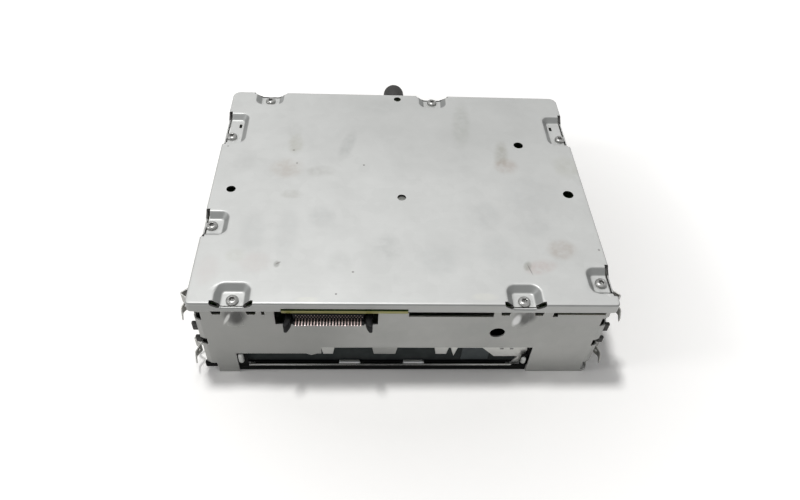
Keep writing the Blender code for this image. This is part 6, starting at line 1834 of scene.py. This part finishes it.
@dataclass
class Studio:
    """A pale floor, a key lamp overhead, a soft lamp at the left, a weak fill and the camera."""

    target: Point3 = (-0.001759, -0.043226, 0.0516)
    distance: float = 0.288946
    azimuth: float = -4.687
    elevation: float = 47.504
    roll: float = 3.995
    sensor: float = 36.0
    near: float = 0.01
    focal: float = 663.108 * 36 / 800
    lamps: Tuple[Tuple[str, Point3, float, float], ...] = (
        ("key_lamp", (-0.12, 0.035, 0.80), 0.10, 4.0),
        ("side_lamp", (-0.70, -0.15, 0.50), 0.20, 1.3),
    )
    aim: Point3 = (0, 0, 0.03)
    fill: Point3 = (0.16, 0.16, 0.1616)
    floor_size: float = 3.0
    floor_steps: int = 9
    floor_z: float = -0.1 * MM
    floor_seen: str = "#fdfcfa"
    floor_given: str = "#efefed"
    floor_lift: Point2 = (0.05, 0.95)
    lift_span: Point2 = (0.10, 0.36)

    def camera(self) -> None:
        """Stands the camera where the photograph was taken from."""
        az, el, roll = (math.radians(v) for v in (self.azimuth, self.elevation, self.roll))
        back = Vector((math.sin(az) * math.cos(el), -math.cos(az) * math.cos(el), math.sin(el)))
        level = Vector((0, 0, 1)).cross(back).normalized()
        upright = back.cross(level)
        right = math.cos(roll) * level + math.sin(roll) * upright
        up = math.cos(roll) * upright - math.sin(roll) * level
        data = bpy.data.cameras.new("photo_camera")
        data.lens, data.sensor_width, data.clip_start = self.focal, self.sensor, self.near
        camera = bpy.data.objects.new("photo_camera", data)
        turn = Matrix((right, up, back)).transposed().to_4x4()
        camera.matrix_world = Matrix.Translation(Vector(self.target) + back * self.distance) @ turn
        bpy.context.scene.collection.objects.link(camera)
        bpy.context.scene.camera = camera

    def seen(self, tree: bpy.types.NodeTree) -> Any:
        """Finds what is seen, by the camera itself or in a reflection or through glass.

        Args:
            tree: the material's or world's node tree.

        Returns:
            An output that is one for what is seen and zero for light that is given.
        """
        path = add_node(tree, "LightPath")
        both = add_node(
            tree, "Math",
            {0: path.outputs["Is Camera Ray"], 1: path.outputs["Is Glossy Ray"]},
            operation="MAXIMUM",
        )
        return add_node(
            tree, "Math", {0: both, 1: path.outputs["Is Transmission Ray"]}, operation="MAXIMUM"
        ).outputs[0]

    def light(self) -> None:
        """Sets the world, white to the camera and weak as light, and the lamps.

        Each lamp is a disc, given by its name, its place, its width in metres and its watts.
        """
        world = bpy.data.worlds.new("studio")
        tree = empty_tree(world)
        level = add_node(
            tree, "Mix",
            {0: self.seen(tree), 6: (*self.fill, 1), 7: linear("#ffffff")},
            data_type="RGBA",
        )
        sky = add_node(tree, "Background", {"Color": level.outputs[2], "Strength": 1.0})
        add_node(tree, "OutputWorld", {"Surface": sky})
        bpy.context.scene.world = world
        for name, place, size, power in self.lamps:
            lamp = bpy.data.lights.new(name, "AREA")
            lamp.shape, lamp.size, lamp.energy = "DISK", size, power
            stand = bpy.data.objects.new(name, lamp)
            stand.location = place
            aim = Vector(self.aim) - Vector(place)
            stand.rotation_euler = aim.to_track_quat("-Z", "Y").to_euler()
            bpy.context.scene.collection.objects.link(stand)

    def floor(self) -> None:
        """Lays the floor, pale to the camera, with a painted glow, seen by the camera and in reflections,
        that lifts it to white further off.
        """
        half, count = self.floor_size / 2, self.floor_steps
        x, y = np.meshgrid(np.linspace(-half, half, count), np.linspace(-half, half, count))
        mesh = bpy.data.meshes.new("floor")
        points = np.stack([x, y, np.full_like(x, self.floor_z)], axis=2).reshape(-1, 3)
        mesh.from_pydata(points.tolist(), [], grid_faces(count, count, False).tolist())
        floor = bpy.data.objects.new("floor", mesh)
        material = bpy.data.materials.new("pale_paper")
        tree = empty_tree(material)
        shader = add_node(tree, "BsdfPrincipled", {"Roughness": 0.9, "Specular IOR Level": 0.1})
        tone = add_node(
            tree, "Mix",
            {0: self.seen(tree), 6: linear(self.floor_given), 7: linear(self.floor_seen)},
            data_type="RGBA",
        )
        place = add_node(tree, "TexCoord").outputs["Object"]
        away = add_node(tree, "VectorMath", {0: place}, operation="LENGTH")
        spread = add_node(
            tree, "MapRange",
            {
                "Value": away.outputs["Value"], "From Min": self.lift_span[0],
                "From Max": self.lift_span[1], "To Min": self.floor_lift[0], "To Max": self.floor_lift[1],
            },
            clamp=True,
        )
        lift = add_node(tree, "Math", {0: self.seen(tree), 1: spread}, operation="MULTIPLY")
        lit = {"Emission Color": linear("#ffffff"), "Emission Strength": lift}
        connect(tree, shader, {"Base Color": tone.outputs[2], **lit})
        add_node(tree, "OutputMaterial", {"Surface": shader})
        mesh.materials.append(material)
        bpy.context.scene.collection.objects.link(floor)

    def build(self) -> None:
        """Sets the camera, the light, the floor and the plain view transform."""
        self.camera()
        self.light()
        self.floor()
        bpy.context.scene.view_settings.view_transform = "Standard"


def main() -> None:
    """Builds the studio and every sub-assembly."""
    logging.basicConfig(level=logging.INFO, format="%(message)s")
    assemblies = (
        Studio(),
        PressedCover(),
        PanScrews(),
        SpringClips(),
        FrontHeader(),
        EmbossedRibs(),
        SlotDetails(),
        WallStops(),
        LocatingStud(),
        SolidFinishes(),
    )
    for assembly in assemblies:
        LOG.info("building %s", type(assembly).__name__)
        assembly.build()


if __name__ == "__main__":
    main()
